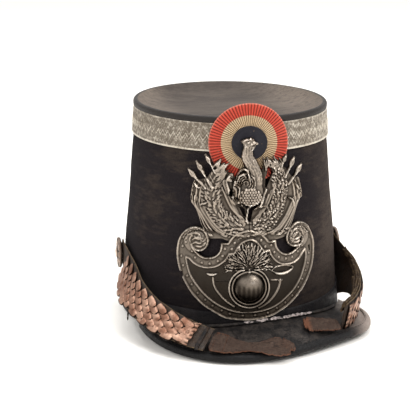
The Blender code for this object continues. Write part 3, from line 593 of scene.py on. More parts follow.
def plate_finish(plate):
    """Silvered sheet: dark in its hollows, bright on the ridges, dull over the plain field."""
    made = Finish("white_metal_finish", Metallic=1.0)
    place = made.place()
    # crest also carries the painted highlight on the ball.
    crest = made.value("crest")
    plain = made.value("field")
    cloud = made.noise(place, 60.0, 5.0, 0.6)
    fine = made.noise(place, 700.0, 4.0, 0.7)
    bright = made.step(crest + 0.16 * (fine - 0.5), 0.30, 0.78)
    colour = made.blend(bright, plate.hollow_colour, plate.colour)
    colour = made.blend(made.step(crest, 0.8, 1.0), colour, plate.ridge_colour)
    field = made.blend(made.step(cloud, 0.35, 0.7), plate.field_colour, plate.hollow_colour)
    colour = made.blend(plain * (1 - made.step(crest, 0.56, 0.75)), colour, field)
    colour = made.blend(0.4 * made.step(cloud, 0.5, 0.75), colour, plate.tarnish_colour, "MULTIPLY")
    # Painted shade: the plate darkens towards its bottom, its highest ridges a little less.
    low = (1 - made.step(made.split(place)[2], 0.020, 0.078)) * (1 - 0.22 * made.step(crest, 0.75, 0.95))
    colour = made.blend(0.85 * low, colour, plate.shade_colour, "MULTIPLY")
    rough = 0.30 + 0.22 * made.step(fine, 0.35, 0.7) - 0.05 * bright
    return made.finish(Base_Color=colour, Roughness=rough, Normal=made.bump(fine, 0.00008))


def cockade_finish(cockade):
    """Painted tin in three rings, with painted shade in the pleats, specks of dirt, and rubbed crests."""
    made = Finish("painted_tin_finish", Specular_IOR_Level=0.3)
    place = made.place()
    radius = made.value("radius")
    crest = made.value("crest")
    fine = made.noise(place, 900.0, 5.0, 0.7)
    broad = made.noise(place, 120.0, 4.0, 0.6)
    edge = radius + 0.5 * (broad - 0.5)
    colour = made.blend(made.step(edge, BLUE_RADIUS - 0.2, BLUE_RADIUS + 0.2), cockade.inner_colour,
                        cockade.middle_colour)
    colour = made.blend(made.step(edge, CREAM_RADIUS - 0.2, CREAM_RADIUS + 0.2), colour,
                        cockade.outer_colour)
    # Painted shade: the pleats' valleys darken.
    pleat_shade = 1 - made.step(crest + 0.3 * (fine - 0.5), 0.1, 0.6)
    colour = made.blend(0.85 * pleat_shade, colour, cockade.dirt_and_shade_colour, "MULTIPLY")
    rubbed = made.step(crest + 0.5 * (fine - 0.5), 0.85, 1.15) * made.step(broad, 0.35, 0.6)
    colour = made.blend(0.35 * rubbed * made.step(radius, BLUE_RADIUS, BLUE_RADIUS + 0.5), colour,
                        cockade.rubbed_colour)
    rim = made.step(radius, COCKADE_RADIUS - 0.9, COCKADE_RADIUS - 0.3)
    colour = made.blend(0.35 * rim, colour, cockade.rubbed_colour)
    specks = made.step(made.noise(place, 420.0, 3.0, 0.6), 0.68, 0.74)
    colour = made.blend(0.6 * specks, colour, cockade.dirt_and_shade_colour)
    rough = 0.55 + 0.25 * fine
    return made.finish(Base_Color=colour, Roughness=rough, Normal=made.bump(fine, 0.00012))


def copper_finish(name, copper, colour, pale):
    """Worn copper with dark seams in its hollows."""
    made = Finish(name, Metallic=1.0)
    place = made.place()
    crest = made.value("crest")
    fine = made.noise(place, 800.0, 5.0, 0.7)
    broad = made.noise(place, 110.0, 5.0, 0.6)
    colour = made.blend(made.step(broad, 0.35, 0.7), colour, pale)
    colour = made.blend(1 - made.step(crest + 0.3 * (fine - 0.5), 0.3, 1.0), colour,
                        copper.seam_colour)
    colour = made.blend(0.5 * made.step(fine, 0.58, 0.75), colour, copper.seam_colour, "MULTIPLY")
    rough = 0.36 + 0.25 * fine
    return made.finish(Base_Color=colour, Roughness=rough, Normal=made.bump(fine, 0.0001))


def floor_finish(stage):
    """A pale floor that glows a little far away, so that it meets the air without a line."""
    made = Finish("pale_floor_finish", Roughness=0.85, Specular_IOR_Level=0.1, Emission_Strength=1.0)
    place = made.place()
    grain = made.noise(place, 3.0, 2.0, 0.5)
    across, depth = made.split(place)[:2]
    far = made.step(made.maths("SQRT", across * across + depth * depth), 0.8, 2.2)
    pale = stage.floor_colour
    colour = made.blend(grain, pale, tuple(0.985 * channel for channel in pale))
    glow = made.blend(far, (0.0, 0.0, 0.0), (0.14, 0.14, 0.14))
    return made.finish(Base_Color=colour, Emission_Color=glow)


class Scatter:
    """A Geometry Nodes tree that sets one small shape on many points and bakes the result."""

    def __init__(self):
        self.tree = bpy.data.node_groups.new("set_on_points", "GeometryNodeTree")
        face = self.tree.interface
        face.new_socket("Geometry", in_out="OUTPUT", socket_type="NodeSocketGeometry")
        self.inputs = {}
        for label, kind in (("Geometry", "Geometry"), ("Shape", "Object"), ("Size", "Float"),
                            ("Size variation", "Float"), ("Seed", "Int"), ("Material", "Material")):
            socket = face.new_socket(label, in_out="INPUT", socket_type="NodeSocket" + kind)
            self.inputs[label] = socket.identifier
        start = self.tree.nodes.new("NodeGroupInput")
        info = self.add("GeometryNodeObjectInfo", {"transform_space": "ORIGINAL"},
                        {"Object": start.outputs["Shape"]})
        upright = self.add("FunctionNodeAlignRotationToVector", {"axis": "Z"},
                           {"Vector": self.named("facing")})
        turned = self.add("FunctionNodeAlignRotationToVector", {"axis": "X", "pivot_axis": "Z"},
                          {"Rotation": upright.outputs[0], "Vector": self.named("heading")})
        spread = self.add("FunctionNodeRandomValue", {"data_type": "FLOAT"}, {"Seed": start.outputs["Seed"]})
        for limit, operation in ((2, "SUBTRACT"), (3, "ADD")):
            size = self.add("ShaderNodeMath", {"operation": operation},
                            {0: start.outputs["Size"], 1: start.outputs["Size variation"]})
            self.tree.links.new(size.outputs[0], spread.inputs[limit])
        grow = self.add("ShaderNodeVectorMath", {"operation": "SCALE"}, {0: self.named("shape_scale")})
        self.tree.links.new(spread.outputs[1], grow.inputs["Scale"])
        placed = self.add("GeometryNodeInstanceOnPoints", {}, {
            "Points": start.outputs["Geometry"], "Instance": info.outputs["Geometry"],
            "Rotation": turned.outputs[0], "Scale": grow.outputs[0]})
        whole = self.add("GeometryNodeRealizeInstances", {}, {"Geometry": placed.outputs[0]})
        clad = self.add("GeometryNodeSetMaterial", {}, {
            "Geometry": whole.outputs[0], "Material": start.outputs["Material"]})
        end = self.tree.nodes.new("NodeGroupOutput")
        self.tree.links.new(clad.outputs[0], end.inputs[0])

    def add(self, kind, settings, links):
        made = self.tree.nodes.new(kind)
        for label, value in settings.items():
            setattr(made, label, value)
        for label, value in links.items():
            self.tree.links.new(value, made.inputs[label])
        return made

    def named(self, label):
        made = self.add("GeometryNodeInputNamedAttribute", {"data_type": "FLOAT_VECTOR"}, {})
        made.inputs["Name"].default_value = label
        return made.outputs[0]

    def make(self, name, rows, shape, material, vary=0.0, seed=1, smooth_below=40.0):
        """A plain mesh of the shape at each row: place, facing, heading and scale, in the hat's frame.

        The shape is only a pattern, and it is removed afterwards.
        """
        places, facings, headings, scales = (np.array([tuple(part) for part in parts], dtype=float)
                                             for parts in zip(*rows))
        mesh = bpy.data.meshes.new(name + "_points")
        mesh.from_pydata((places * MM + HAT_CENTRE).tolist(), [], [])
        for label, vectors in (("facing", facings), ("heading", headings), ("shape_scale", scales)):
            attribute = mesh.attributes.new(label, "FLOAT_VECTOR", "POINT")
            attribute.data.foreach_set("vector", vectors.astype(np.float32).ravel())
        carrier = show(name + "_points", mesh)
        modifier = carrier.modifiers.new("set_on_points", "NODES")
        modifier.node_group = self.tree
        chosen = {"Shape": shape, "Size": 1.0, "Size variation": vary, "Seed": seed, "Material": material}
        for label, value in chosen.items():
            modifier[self.inputs[label]] = value
        graph = bpy.context.evaluated_depsgraph_get()
        result = bpy.data.meshes.new_from_object(carrier.evaluated_get(graph))
        result.name = name
        carrier.modifiers.remove(modifier)
        pattern = shape.data
        for used in (carrier, shape):
            bpy.data.objects.remove(used)
        bpy.data.meshes.remove(pattern)
        return show_smooth(name, result, smooth_below)


def unit_shape(name, points, faces, values=None):
    """A small shape that is only a pattern for the scatter tree."""
    places = np.asarray(points, dtype=float).reshape(-1, 3) * MM
    return bpy.data.objects.new(name, closed_mesh(name, places, faces, values))


def stitch_shape(length, radius):
    """One stitch: a short arched thread along X."""
    rings = []
    for step in np.linspace(-1.0, 1.0, 7):
        centre = np.array((0.5 * length * step, 0.0, radius * (0.9 - 1.3 * step * step)))
        thick = radius * (1.0 - 0.45 * step ** 4)
        rings.append([centre + (0.0, thick * math.cos(turn), thick * math.sin(turn))
                      for turn in np.linspace(0.0, 2 * math.pi, 7)[:-1]])
    return unit_shape("stitch", rings, tube_faces(7, 6))


def ring_piece(name, section, columns, material, adjust):
    """A closed ring round the hat from rows of height and stand-off.

    adjust gives a change of the stand-off from the azimuths, heights and stand-offs of all points.
    """
    rows = np.array(section, dtype=float)
    azimuth = np.tile(np.linspace(0.0, 360.0, columns, endpoint=False), (len(rows), 1))
    height = np.repeat(rows[:, :1], columns, axis=1)
    stand_off = np.repeat(rows[:, 1:2], columns, axis=1)
    stand_off = stand_off + adjust(azimuth, height, stand_off)
    points = wall_place(azimuth, height, stand_off)
    faces, places = grid_faces(len(rows), columns, around=True, across=True)
    along = places[:, 0] / columns * ring_length(height[0, 0])
    uv = np.stack([along, rows[np.minimum(places[:, 1], len(rows) - 1).astype(int), 0]], axis=-1)
    return new_piece(name, points, faces.tolist(), material, uv=uv)


def ring_length(height):
    half_width, half_depth = wall_half_sizes(height)
    share = ((half_width - half_depth) / (half_width + half_depth)) ** 2
    return math.pi * (half_width + half_depth) * (1 + 3 * share / (10 + math.sqrt(4 - 3 * share)))


def make_felt(felt):
    """The felt body, open below, with shallow dents between its band and its lace."""
    outer = [(0.0, -1.2), (0.25, -0.45), (0.9, 0.0)]
    outer += [(height, 0.0) for height in np.linspace(2.0, SHELL_TOP, 76)]
    inner = [(height, -FELT) for height in np.linspace(SHELL_TOP, 1.0, 20)] + [(0.25, -FELT + 0.5)]

    def dents(azimuth, height, stand_off):
        places = wall_place(azimuth, height)
        above_band = np.clip((height - BAND_TOP - 1.5) / 10.0, 0, 1)
        free = above_band * np.clip((LACE_BOTTOM - 1.8 - height) / 10.0, 0, 1)
        broad, fine = lumps(places * (1, 1, 0.55), 26.0), lumps(places, 9.0, 7.0)
        return free * felt.dent_depth / MM * (broad + 0.4 * fine)

    piece = ring_piece("felt_body", outer + inner, 240, felt_finish(felt), dents)
    set_on_hat(piece, "black_felt", "body_shell")


def turned_cover(name, rows, columns, material, adjust, values):
    """A closed cover round the hat whose first and last rows shrink to a point on its axis."""
    azimuth = np.linspace(0.0, 360.0, columns, endpoint=False)
    points = np.array([wall_place(azimuth, np.full(columns, height), stand_off) * (shrink, shrink, 1.0)
                       for height, stand_off, shrink in rows[1:-1]])
    points[..., 2] += adjust(points)
    faces = turned_faces(len(rows) - 2, columns)
    poles = [(0.0, 0.0, rows[0][0]), (0.0, 0.0, rows[-1][0])]
    carried = {label: np.append(np.repeat(numbers, columns), (0.0, 0.0)) for label, numbers in values.items()}
    return new_piece(name, np.vstack([points.reshape(-1, 3), poles]), faces, material, values=carried)


def make_crown(crown):
    """The sunken top, a smooth bowl, and its rolled rim, in one piece of leather."""
    seat = SHELL_TOP + GAP
    floor = 155.6
    rim_above = 9.0
    steepness = 6.5
    top = [(floor + rim_above * share ** steepness, -1.8 * share, share)
           for share in [0.0, *np.linspace(0.04, 1.0, 50)]]
    roll = ((164.6, -1.8), (164.9, -0.7), (164.5, 0.8), (163.2, 1.6), (161.6, 1.6), (seat, 1.3))
    under = [(seat, -2.0), (seat, -6.0), (158.0, -8.8), (155.4, -11.4), (154.6, -11.7)]
    rows = top + [(height, stand_off, 1.0) for height, stand_off in [*smooth_rows(roll, 20)[1:], *under]]
    rows += [(154.3, -8.0, 0.7), (154.1, -4.0, 0.35), (154.0, 0.0, 0.0)]

    def dents(points):
        open_top = np.clip(points[..., 2] - floor + 0.1, 0, 1)
        far = np.clip((163.5 - points[..., 2]) / 3.0, 0.15, 1)
        flat = points * (1, 1, 0)
        return open_top * far * crown.dent_depth / MM * (lumps(flat, 30.0) + 0.5 * lumps(flat, 9.0))

    rolled = [0.0] * (len(top) - 1) + [1.0] * (len(rows) - len(top) - 1)
    piece = turned_cover("crown_cover", rows, 200, crown_finish(crown), dents, {"rolled": rolled})
    set_on_hat(piece, "crown_leather", "crown_rim", "crown_top")


def zigzag(along, period):
    return np.abs((along / period) % 1.0 * 2.0 - 1.0)


def make_lace(lace):
    """The lace: a raised zigzag between finer ones and two corded edges."""
    columns = 12 * lace.zigzags
    heights = np.linspace(LACE_BOTTOM, SHELL_TOP, 44)
    face = [(LACE_BOTTOM + 0.02, 0.9)] + [(height, 1.15) for height in heights] + [(SHELL_TOP - 0.02, 0.9)]
    section = face + [(SHELL_TOP - 0.02, GAP), (LACE_BOTTOM + 0.02, GAP)]
    period = 12.0
    kept = {}

    def weave(azimuth, height, stand_off):
        along = np.arange(columns)[None, :] * np.ones_like(height)
        up = height - LACE_BOTTOM
        front = stand_off > 1.0
        line = np.zeros_like(up)
        for centre, swing, width, rise, repeat in LACE_LINES:
            path = centre + swing * (zigzag(along, period / repeat) - 0.5)
            line = np.maximum(line, rise * np.clip(1 - ((up - path) / width) ** 2, 0, 1))
        edge = np.maximum(0.85 * np.clip(1 - (up / 1.5) ** 4, 0, 1),
                          0.4 * np.clip(1 - ((SHELL_TOP - height) / 1.1) ** 4, 0, 1))
        line = np.maximum(line, 0.9 * edge)
        kept["ridge"] = np.where(front, line, 0.5)
        return np.where(front, 0.5 * line, 0.0)

    piece = ring_piece("lace_band", section, columns, lace_finish(lace), weave)
    set_values(piece.data, "ridge", kept["ridge"])
    set_on_hat(piece, "silver_lace", "galloon_band")


def make_base_band(leather):
    """The leather band round the base."""
    outer = [(0.6, 0.9), (0.9, 1.35), (2.0, BAND_LEATHER)]
    outer += [(height, BAND_LEATHER) for height in np.linspace(3.0, BAND_TOP - 1.6, 20)]
    outer += [(BAND_TOP - 0.9, 1.4), (BAND_TOP - 0.3, 1.1), (BAND_TOP, 0.7), (BAND_TOP, GAP), (0.6, GAP)]

    def wear(azimuth, height, stand_off):
        places = wall_place(azimuth, height)
        free = (stand_off > 1.3) & (height > 2.5)
        return np.where(free, 0.16 * lumps(places, 7.0, 3.0), 0.0)

    hide = hide_finish(leather, "band_leather", "band", "band_worn", shine=0.5, crack=0.7, patch=60.0)
    piece = ring_piece("base_leather_band", outer, 300, hide, wear)
    set_on_hat(piece, "black_leather", "base_band")


def peak_middle(row, stand_off):
    """Height of the peak's middle plane at a stand-off, for one row of its table."""
    seam, reach, edge = row[1:]
    inner = BAND_LEATHER + GAP
    across = (stand_off - inner) / max(reach - inner, 1.0)
    swell = 0.035 * (reach - inner) * math.sin(math.pi * min(max(across, 0.0), 1.0))
    return seam + (edge - seam) * across + swell


def peak_point(row, stand_off, above):
    point = wall_place(row[0], 0.0, stand_off)
    point[2] = peak_middle(row, stand_off) + above
    return point


def make_peak(leather):
    """The peak's leather, with a thin rounded section and shallow dents."""
    inner = BAND_LEATHER + GAP
    rings = []
    for row in smooth_rows(PEAK, 150):
        outer = max(row[2] - 1.2, inner + 1.0)
        top = []
        under = []
        for across in np.linspace(0.0, 1.0, 26):
            stand_off = inner + (outer - inner) * across
            thick = PEAK_LEATHER / 2 * (1.0 - 0.25 * across ** 8)
            top.append(peak_point(row, stand_off, thick))
            under.append(peak_point(row, stand_off, -thick))
        rings.append(top + under[::-1])
    points = np.array(rings)
    rise = 0.35 * lumps(points * (1, 1, 0), 17.0, 5.0) + 0.12 * lumps(points * (1, 1, 0), 5.0, 9.0)
    points[..., 2] += rise * np.clip(np.linspace(0, 1, 26).tolist() + np.linspace(1, 0, 26).tolist(), 0, 1)
    # The peak's right end gets a painted highlight.
    hide = hide_finish(leather, "peak_leather", "peak", "worn", 800.0, 0.42, 0.75, 120.0, glow="painted_light")
    piece = new_piece("peak_leather", points, tube_faces(*points.shape[:2]), hide)
    set_on_hat(piece, "black_leather", "peak")


def make_binding(leather):
    """The folded edge that grips the peak, puckered by its stitches."""
    slot = PEAK_LEATHER / 2 + GAP
    section = [(-BINDING_GRIP, slot), (-1.0, slot), (-1.0, -slot), (-BINDING_GRIP, -slot)]
    for turn in np.linspace(-90.0, 90.0, 13):
        side = math.radians(turn)
        section.append((-1.9 + 2.1 * math.cos(side), (slot + 1.0) * math.sin(side)))
    section.insert(4, (-BINDING_GRIP, -slot - 0.7))
    section.append((-BINDING_GRIP, slot + 0.7))
    rows = [row for row in smooth_rows(PEAK, 260) if row[2] > BAND_LEATHER + GAP + BINDING_GRIP + 4.0]
    points = np.array([[peak_point(row, row[2] + outward, above) for outward, above in section]
                       for row in rows])
    middle = points.mean(axis=1, keepdims=True)
    pucker = 1.0 + 0.05 * lumps(points, 4.0, 2.0) + 0.03 * lumps(points, 1.6, 4.0)
    outside = np.array([0.0] * 4 + [1.0] * (len(section) - 4))[None, :, None]
    points = middle + (points - middle) * (1.0 + (pucker[..., None] - 1.0) * outside)
    # The binding's right end gets a painted highlight.
    hide = hide_finish(leather, "binding_leather", "dark", "peak", 1100.0, 0.38, 0.5, 90.0, glow="painted_light")
    piece = new_piece("peak_edge_binding", points, tube_faces(*points.shape[:2]), hide)
    set_on_hat(piece, "black_leather", "peak_binding")
    return rows


def make_binding_stitches(leather, scatter, rows):
    """A row of thread stitches along the top of the binding."""
    thread = hide_finish(leather, "waxed_thread", "thread", "worn", shine=0.6, patch=300.0)
    above = PEAK_LEATHER / 2 + GAP + 0.72
    seam = [peak_point(row, row[2] - BINDING_GRIP + 1.0, above) for row in rows]
    places = [(seam[number], (0, 0, 1), seam[number + 1] - seam[number], (1, 1, 1))
              for number in range(3, len(rows) - 3, 3)]
    piece = scatter.make("binding_stitches", places, stitch_shape(1.9, 0.22), thread, vary=0.08, seed=4)
    set_on_hat(piece, "black_leather")


def make_welt(leather):
    """The ridge where the peak is sewn on, flaked along its front."""
    stand_off = BAND_LEATHER + GAP + WELT_RADIUS
    rows = [row for row in smooth_rows(PEAK, 340) if -34.0 < row[0] < 50.0]
    rings = []
    for row in rows:
        ring = []
        for turn in np.linspace(0.0, 2 * math.pi, 12, endpoint=False):
            thick = WELT_RADIUS * (1.0 + 0.12 * noise.noise(Vector((row[0] * 0.8, turn, 0.0))))
            ring.append(peak_point(row, stand_off + thick * math.cos(turn),
                                   PEAK_LEATHER / 2 + GAP + WELT_RADIUS + thick * math.sin(turn)))
        rings.append(ring)
    hide = hide_finish(leather, "welt_leather", "dark", "worn", 900.0, 0.4, 0.8, 160.0)
    piece = new_piece("peak_welt", rings, tube_faces(len(rows), 12), hide)
    set_on_hat(piece, "black_leather", "peak_seam_welt")


def make_flakes(leather, scatter):
    """Chips of old varnish that have lifted along the seam; their pale colour is partly a painted glint."""
    rng = random.Random(12)
    points = [(-1.0, -0.55, 0.0), (0.1, -0.8, 0.05), (1.0, -0.3, 0.0), (0.8, 0.5, 0.1), (-0.2, 0.75, 0.0),
              (-0.95, 0.35, 0.05)]
    lower = [(x, y, z - 0.22) for x, y, z in points]
    shape = unit_shape("flake", points + lower, sheet_faces([list(range(6))], 6))
    rows = []
    table = smooth_rows(PEAK, 800)
    while len(rows) < leather.flakes:
        azimuth = -6.0 + 32.0 * rng.random() ** 0.75
        row = min(table, key=lambda found: abs(found[0] - azimuth))
        lift = rng.uniform(0.0, 1.0)
        turn = rng.uniform(0.1, 1.45)
        stand_off = BAND_LEATHER + GAP + WELT_RADIUS + 1.25 * math.cos(turn)
        above = PEAK_LEATHER / 2 + GAP + WELT_RADIUS + 1.25 * math.sin(turn)
        place = peak_point(row, stand_off, above + 0.1 * lift)
        out = wall_out(azimuth, 10.0)
        facing = out * (math.cos(turn) + rng.uniform(-0.5, 0.5)) + Vector((0, 0, math.sin(turn)))
        heading = out.cross(Vector((0, 0, 1))) + Vector((0, 0, rng.uniform(-0.4, 0.4)))
        long = rng.uniform(0.5, 1.7)
        rows.append((place, facing, heading, (long, rng.uniform(0.4, 1.2), 1.0)))
    # The chips' pale colour stands in partly for painted glints.
    chips = hide_finish(leather, "varnish_flake", "flake", "worn", shine=0.25, patch=500.0)
    piece = scatter.make("seam_flakes", rows, shape, chips, vary=0.3, seed=9, smooth_below=20.0)
    set_on_hat(piece, "black_leather")


def wrap(across, height, out):
    """Points of a flat drawing laid round the front of the wall."""
    half_width, half_depth = PLATE_REFERENCE
    turns = np.linspace(-1.2, 1.2, 961)
    steps = np.hypot(half_width * np.cos(turns), half_depth * np.sin(turns)) * (turns[1] - turns[0])
    lengths = np.cumsum(steps) - steps[0]
    middle = math.atan(math.tan(math.radians(PLATE_AZIMUTH)) * half_depth / half_width)
    turn = np.interp(np.interp(middle, turns, lengths) + across, lengths, turns)
    wall_width, wall_depth = wall_half_sizes(height)
    return np.stack([(wall_width + out) * np.sin(turn), -(wall_depth + out) * np.cos(turn), height], axis=-1)


def plate_lift(height):
    part = np.clip((height - PLATE_LIFT_FROM) / (PLATE_LIFT_TO - PLATE_LIFT_FROM), 0.0, 1.0)
    return PLATE_STAND_OFF + PLATE_LIFT * part * part * (3 - 2 * part)


def as_seen(across, height, out):
    """Moves a drawing that was made on the bare wall so that it lines up where the metal stands off."""
    turn = np.radians(PLATE_AZIMUTH + VIEW_SWING) + across / VIEW_BEND
    nearer = np.arcsin(np.sin(turn) * VIEW_BEND / (VIEW_BEND + out))
    return across + (nearer - turn) * VIEW_BEND, height + 0.2 * np.maximum(out - 3.5, 0.0) * np.cos(turn)


class Relief:
    """Stamped metal drawn on a flat grid: broad forms, raised lines and cuts, in millimetres."""

    def __init__(self, low, high, step):
        self.step = step
        self.low = low
        self.u, self.v = np.meshgrid(np.arange(low[0], high[0], step), np.arange(low[1], high[1], step))
        self.form = np.zeros_like(self.u)
        self.line = np.zeros_like(self.u)
        self.cut = np.zeros_like(self.u)
        self.metal = np.full_like(self.u, -9.0)

    def window(self, points, margin):
        least = (np.min(points, axis=0) - margin - self.low) / self.step
        most = (np.max(points, axis=0) + margin - self.low) / self.step + 2
        least, most = np.maximum(least.astype(int), 0), np.maximum(most.astype(int), 0)
        return np.s_[least[1]:most[1], least[0]:most[0]]

    def away(self, window, path):
        """Distance to a path and share of the way along it, for the points of a window."""
        u, v = self.u[window], self.v[window]
        path = np.asarray(path, dtype=float)
        sides = np.diff(path, axis=0)
        lengths = np.hypot(sides[:, 0], sides[:, 1])
        before = np.concatenate([[0.0], np.cumsum(lengths)])
        best = np.full(u.shape, 1e9)
        share = np.zeros_like(u)
        for start, side, length, done in zip(path, sides, lengths, before):
            if length < 1e-6:
                continue
            part = np.clip(((u - start[0]) * side[0] + (v - start[1]) * side[1]) / length ** 2, 0, 1)
            distance = np.hypot(u - start[0] - part * side[0], v - start[1] - part * side[1])
            closer = distance < best
            best = np.where(closer, distance, best)
            share = np.where(closer, (done + part * length) / before[-1], share)
        return best, share

    def inside(self, outline):
        """Whether each grid point lies in a closed outline."""
        result = np.zeros(self.u.shape, dtype=bool)
        for start, end in zip(outline, list(outline[1:]) + [outline[0]]):
            if start[1] != end[1]:
                crosses = (start[1] > self.v) != (end[1] > self.v)
                edge = start[0] + (self.v - start[1]) / (end[1] - start[1]) * (end[0] - start[0])
                result ^= crosses & (self.u < edge)
        return result

    def signed(self, outline):
        """Distance to a closed outline, positive inside."""
        distance = self.away(np.s_[:, :], list(outline) + [outline[0]])[0]
        return np.where(self.inside(outline), distance, -distance)

    def lay(self, layer, window, rise):
        layer[window] = np.maximum(layer[window], rise)

    def ridge(self, path, half_width, crest, taper=0.0, layer=None):
        """A rounded ridge along a path, narrower towards its ends by the taper."""
        layer = self.line if layer is None else layer
        window = self.window(path, half_width)
        distance, share = self.away(window, path)
        width = half_width * (1 - taper + taper * np.sin(np.pi * share)) + 1e-3
        self.lay(layer, window, crest * np.sqrt(np.clip(1 - (distance / width) ** 2, 0, 1)))

    def strokes(self, rows, layer=None):
        """Ridges from rows of half-width, crest, taper, points of the smooth path or 0, and the path."""
        for half_width, crest, taper, count, path in rows:
            self.ridge(smooth_rows(path, count) if count else path, half_width, crest, taper, layer)

    def dome(self, centre, radius, crest, layer=None, squash=1.0, power=0.5):
        layer = self.form if layer is None else layer
        window = self.window([centre], max(radius, radius * squash))
        distance = np.hypot(self.u[window] - centre[0], (self.v[window] - centre[1]) / squash) / radius
        self.lay(layer, window, crest * np.clip(1 - distance ** 2, 0, 1) ** power)

    def leaf(self, foot, tip, half_width, crest, bend=0.0, free=False):
        """A leaf with a midrib; a free one is metal even where it stands past the sheet."""
        foot, tip = np.array(foot), np.array(tip)
        way = tip - foot
        side = np.array((-way[1], way[0]))
        path = smooth_rows([foot, foot + way * 0.5 + side * bend, tip], 7)
        window = self.window(path, half_width)
        distance, share = self.away(window, path)
        width = half_width * np.sin(np.pi * np.clip(share, 0.02, 0.98) ** 0.8) + 1e-3
        part = np.clip(distance / width, 0, 1)
        rise = crest * np.sqrt(np.clip(1 - part ** 2, 0, 1)) * (0.72 + 0.28 * np.abs(part))
        rib = 0.3 * crest * np.clip(1 - distance / 0.35, 0, 1) * (part < 1)
        self.lay(self.line, window, rise - rib)
        if free:
            self.lay(self.metal, window, width + 0.3 - distance)

    def smoothed(self, layer, radius):
        """A layer blurred over a radius, by a running mean that runs twice each way."""
        size = max(int(radius / self.step), 1)
        kernel = np.ones(2 * size + 1) / (2 * size + 1)
        for axis in (0, 1):
            for _ in range(2):
                layer = np.apply_along_axis(lambda line: np.convolve(np.pad(line, size, mode="edge"),
                                                                     kernel, mode="valid"), axis, layer)
        return layer


def between(first, second, share):
    """A path between two paths with the same number of points."""
    return (1 - share) * np.asarray(first) + share * np.asarray(second)


def circle(centre, radius):
    turns = np.linspace(0.0, 2 * math.pi, 61)
    return np.stack([centre[0] + radius * np.cos(turns), centre[1] + radius * np.sin(turns)], axis=-1)


def draw_shield(relief):
    """The crescent shield: corded rims, the field's edge, beads and the swells under the scrolls."""
    rims = [smooth_rows(RIM_LEFT, 110), smooth_rows(SWOOP_LEFT, 40), smooth_rows(ARCH, 40),
            smooth_rows(SWOOP_RIGHT, 40), smooth_rows(RIM_RIGHT, 110),
            [SWOOP_LEFT[-1], ARCH[0]], [ARCH[-1], SWOOP_RIGHT[0]], smooth_rows(RIM_BOTTOM, 24)]
    inner = [smooth_rows(FIELD_TOP_LEFT, 40), smooth_rows(FIELD_ARCH, 40), smooth_rows(FIELD_TOP_RIGHT, 40),
             smooth_rows(FIELD_LOW, 90), [FIELD_TOP_LEFT[-1], FIELD_ARCH[0]],
             [FIELD_ARCH[-1], FIELD_TOP_RIGHT[0]]]
    relief.strokes([(0.85, 1.25, 0.0, 0, path) for path in rims])
    relief.strokes([(0.75, 1.15, 0.0, 0, path) for path in inner])
    for bead in BEADS:
        relief.dome(bead, 1.7, 0.3, relief.cut)
        relief.dome(bead, 1.05, 0.95, relief.line)
    for centre in ((-41.5, 76.2), (43.0, 77.6)):
        relief.dome(centre, 10.5, 1.6)
    return rims


def draw_scrolls(relief):
    """The spirals at the shield's shoulders and the strokes chased on them."""
    left = ((-33.2, 78.5), (-34.6, 81.0), (-38.0, 82.5), (-42.5, 82.2), (-47.0, 79.8), (-50.5, 76.0),
            (-52.6, 71.0))
    right = tuple((-across + 1.6, height + 1.3) for across, height in left)
    relief.strokes([(0.45, 0.6, 0.5, 40, path) for path in (left, right)], relief.cut)
    curls = (
        ((-43.4, 72.4), (-40.5, 74.0), (-37.4, 73.4), (-35.2, 74.8)),
        ((-43.8, 75.0), (-41.0, 77.0), (-38.0, 76.6), (-35.6, 77.6)),
        ((-42.0, 78.6), (-40.0, 77.4), (-37.0, 78.0)),
        ((-41.6, 70.9), (-39.2, 71.2), (-36.6, 71.0), (-34.4, 72.4)),
        ((-44.6, 73.4), (-45.4, 76.0), (-44.0, 79.0)),
        ((-43.0, 80.4), (-40.0, 80.9), (-37.4, 79.8)),
        ((36.2, 76.0), (38.4, 78.4), (41.0, 79.6)),
        ((34.2, 73.6), (36.8, 72.0), (40.4, 72.2), (42.6, 74.2)),
        ((35.2, 75.0), (38.2, 74.2), (41.4, 75.4), (42.2, 78.0), (39.6, 79.6)),
        ((34.0, 77.6), (35.8, 80.6), (39.0, 81.8), (42.6, 81.2)),
        ((45.2, 76.6), (44.8, 79.2), (43.2, 81.0)),
    )
    relief.strokes([(0.75, 1.0, 0.6, 20, path) for path in curls])
    rng = random.Random(3)
    for sign in (-1, 1):
        for _ in range(70):
            turn = math.radians(rng.uniform(10.0, 215.0))
            reach = rng.uniform(5.5, 13.0)
            centre = (sign * 42.0, 75.0)
            foot = (centre[0] + sign * reach * math.cos(turn), centre[1] + 0.7 * reach * math.sin(turn))
            tip = (foot[0] + rng.uniform(-1.2, 1.2), foot[1] + rng.uniform(-1.6, 1.6))
            relief.ridge([foot, tip], 0.5, 0.75, 0.6)


def field_outline():
    """The outline of the shield's plain field."""
    return [tuple(point) for path in (FIELD_TOP_LEFT, FIELD_ARCH, FIELD_TOP_RIGHT, FIELD_LOW[::-1])
            for point in path]


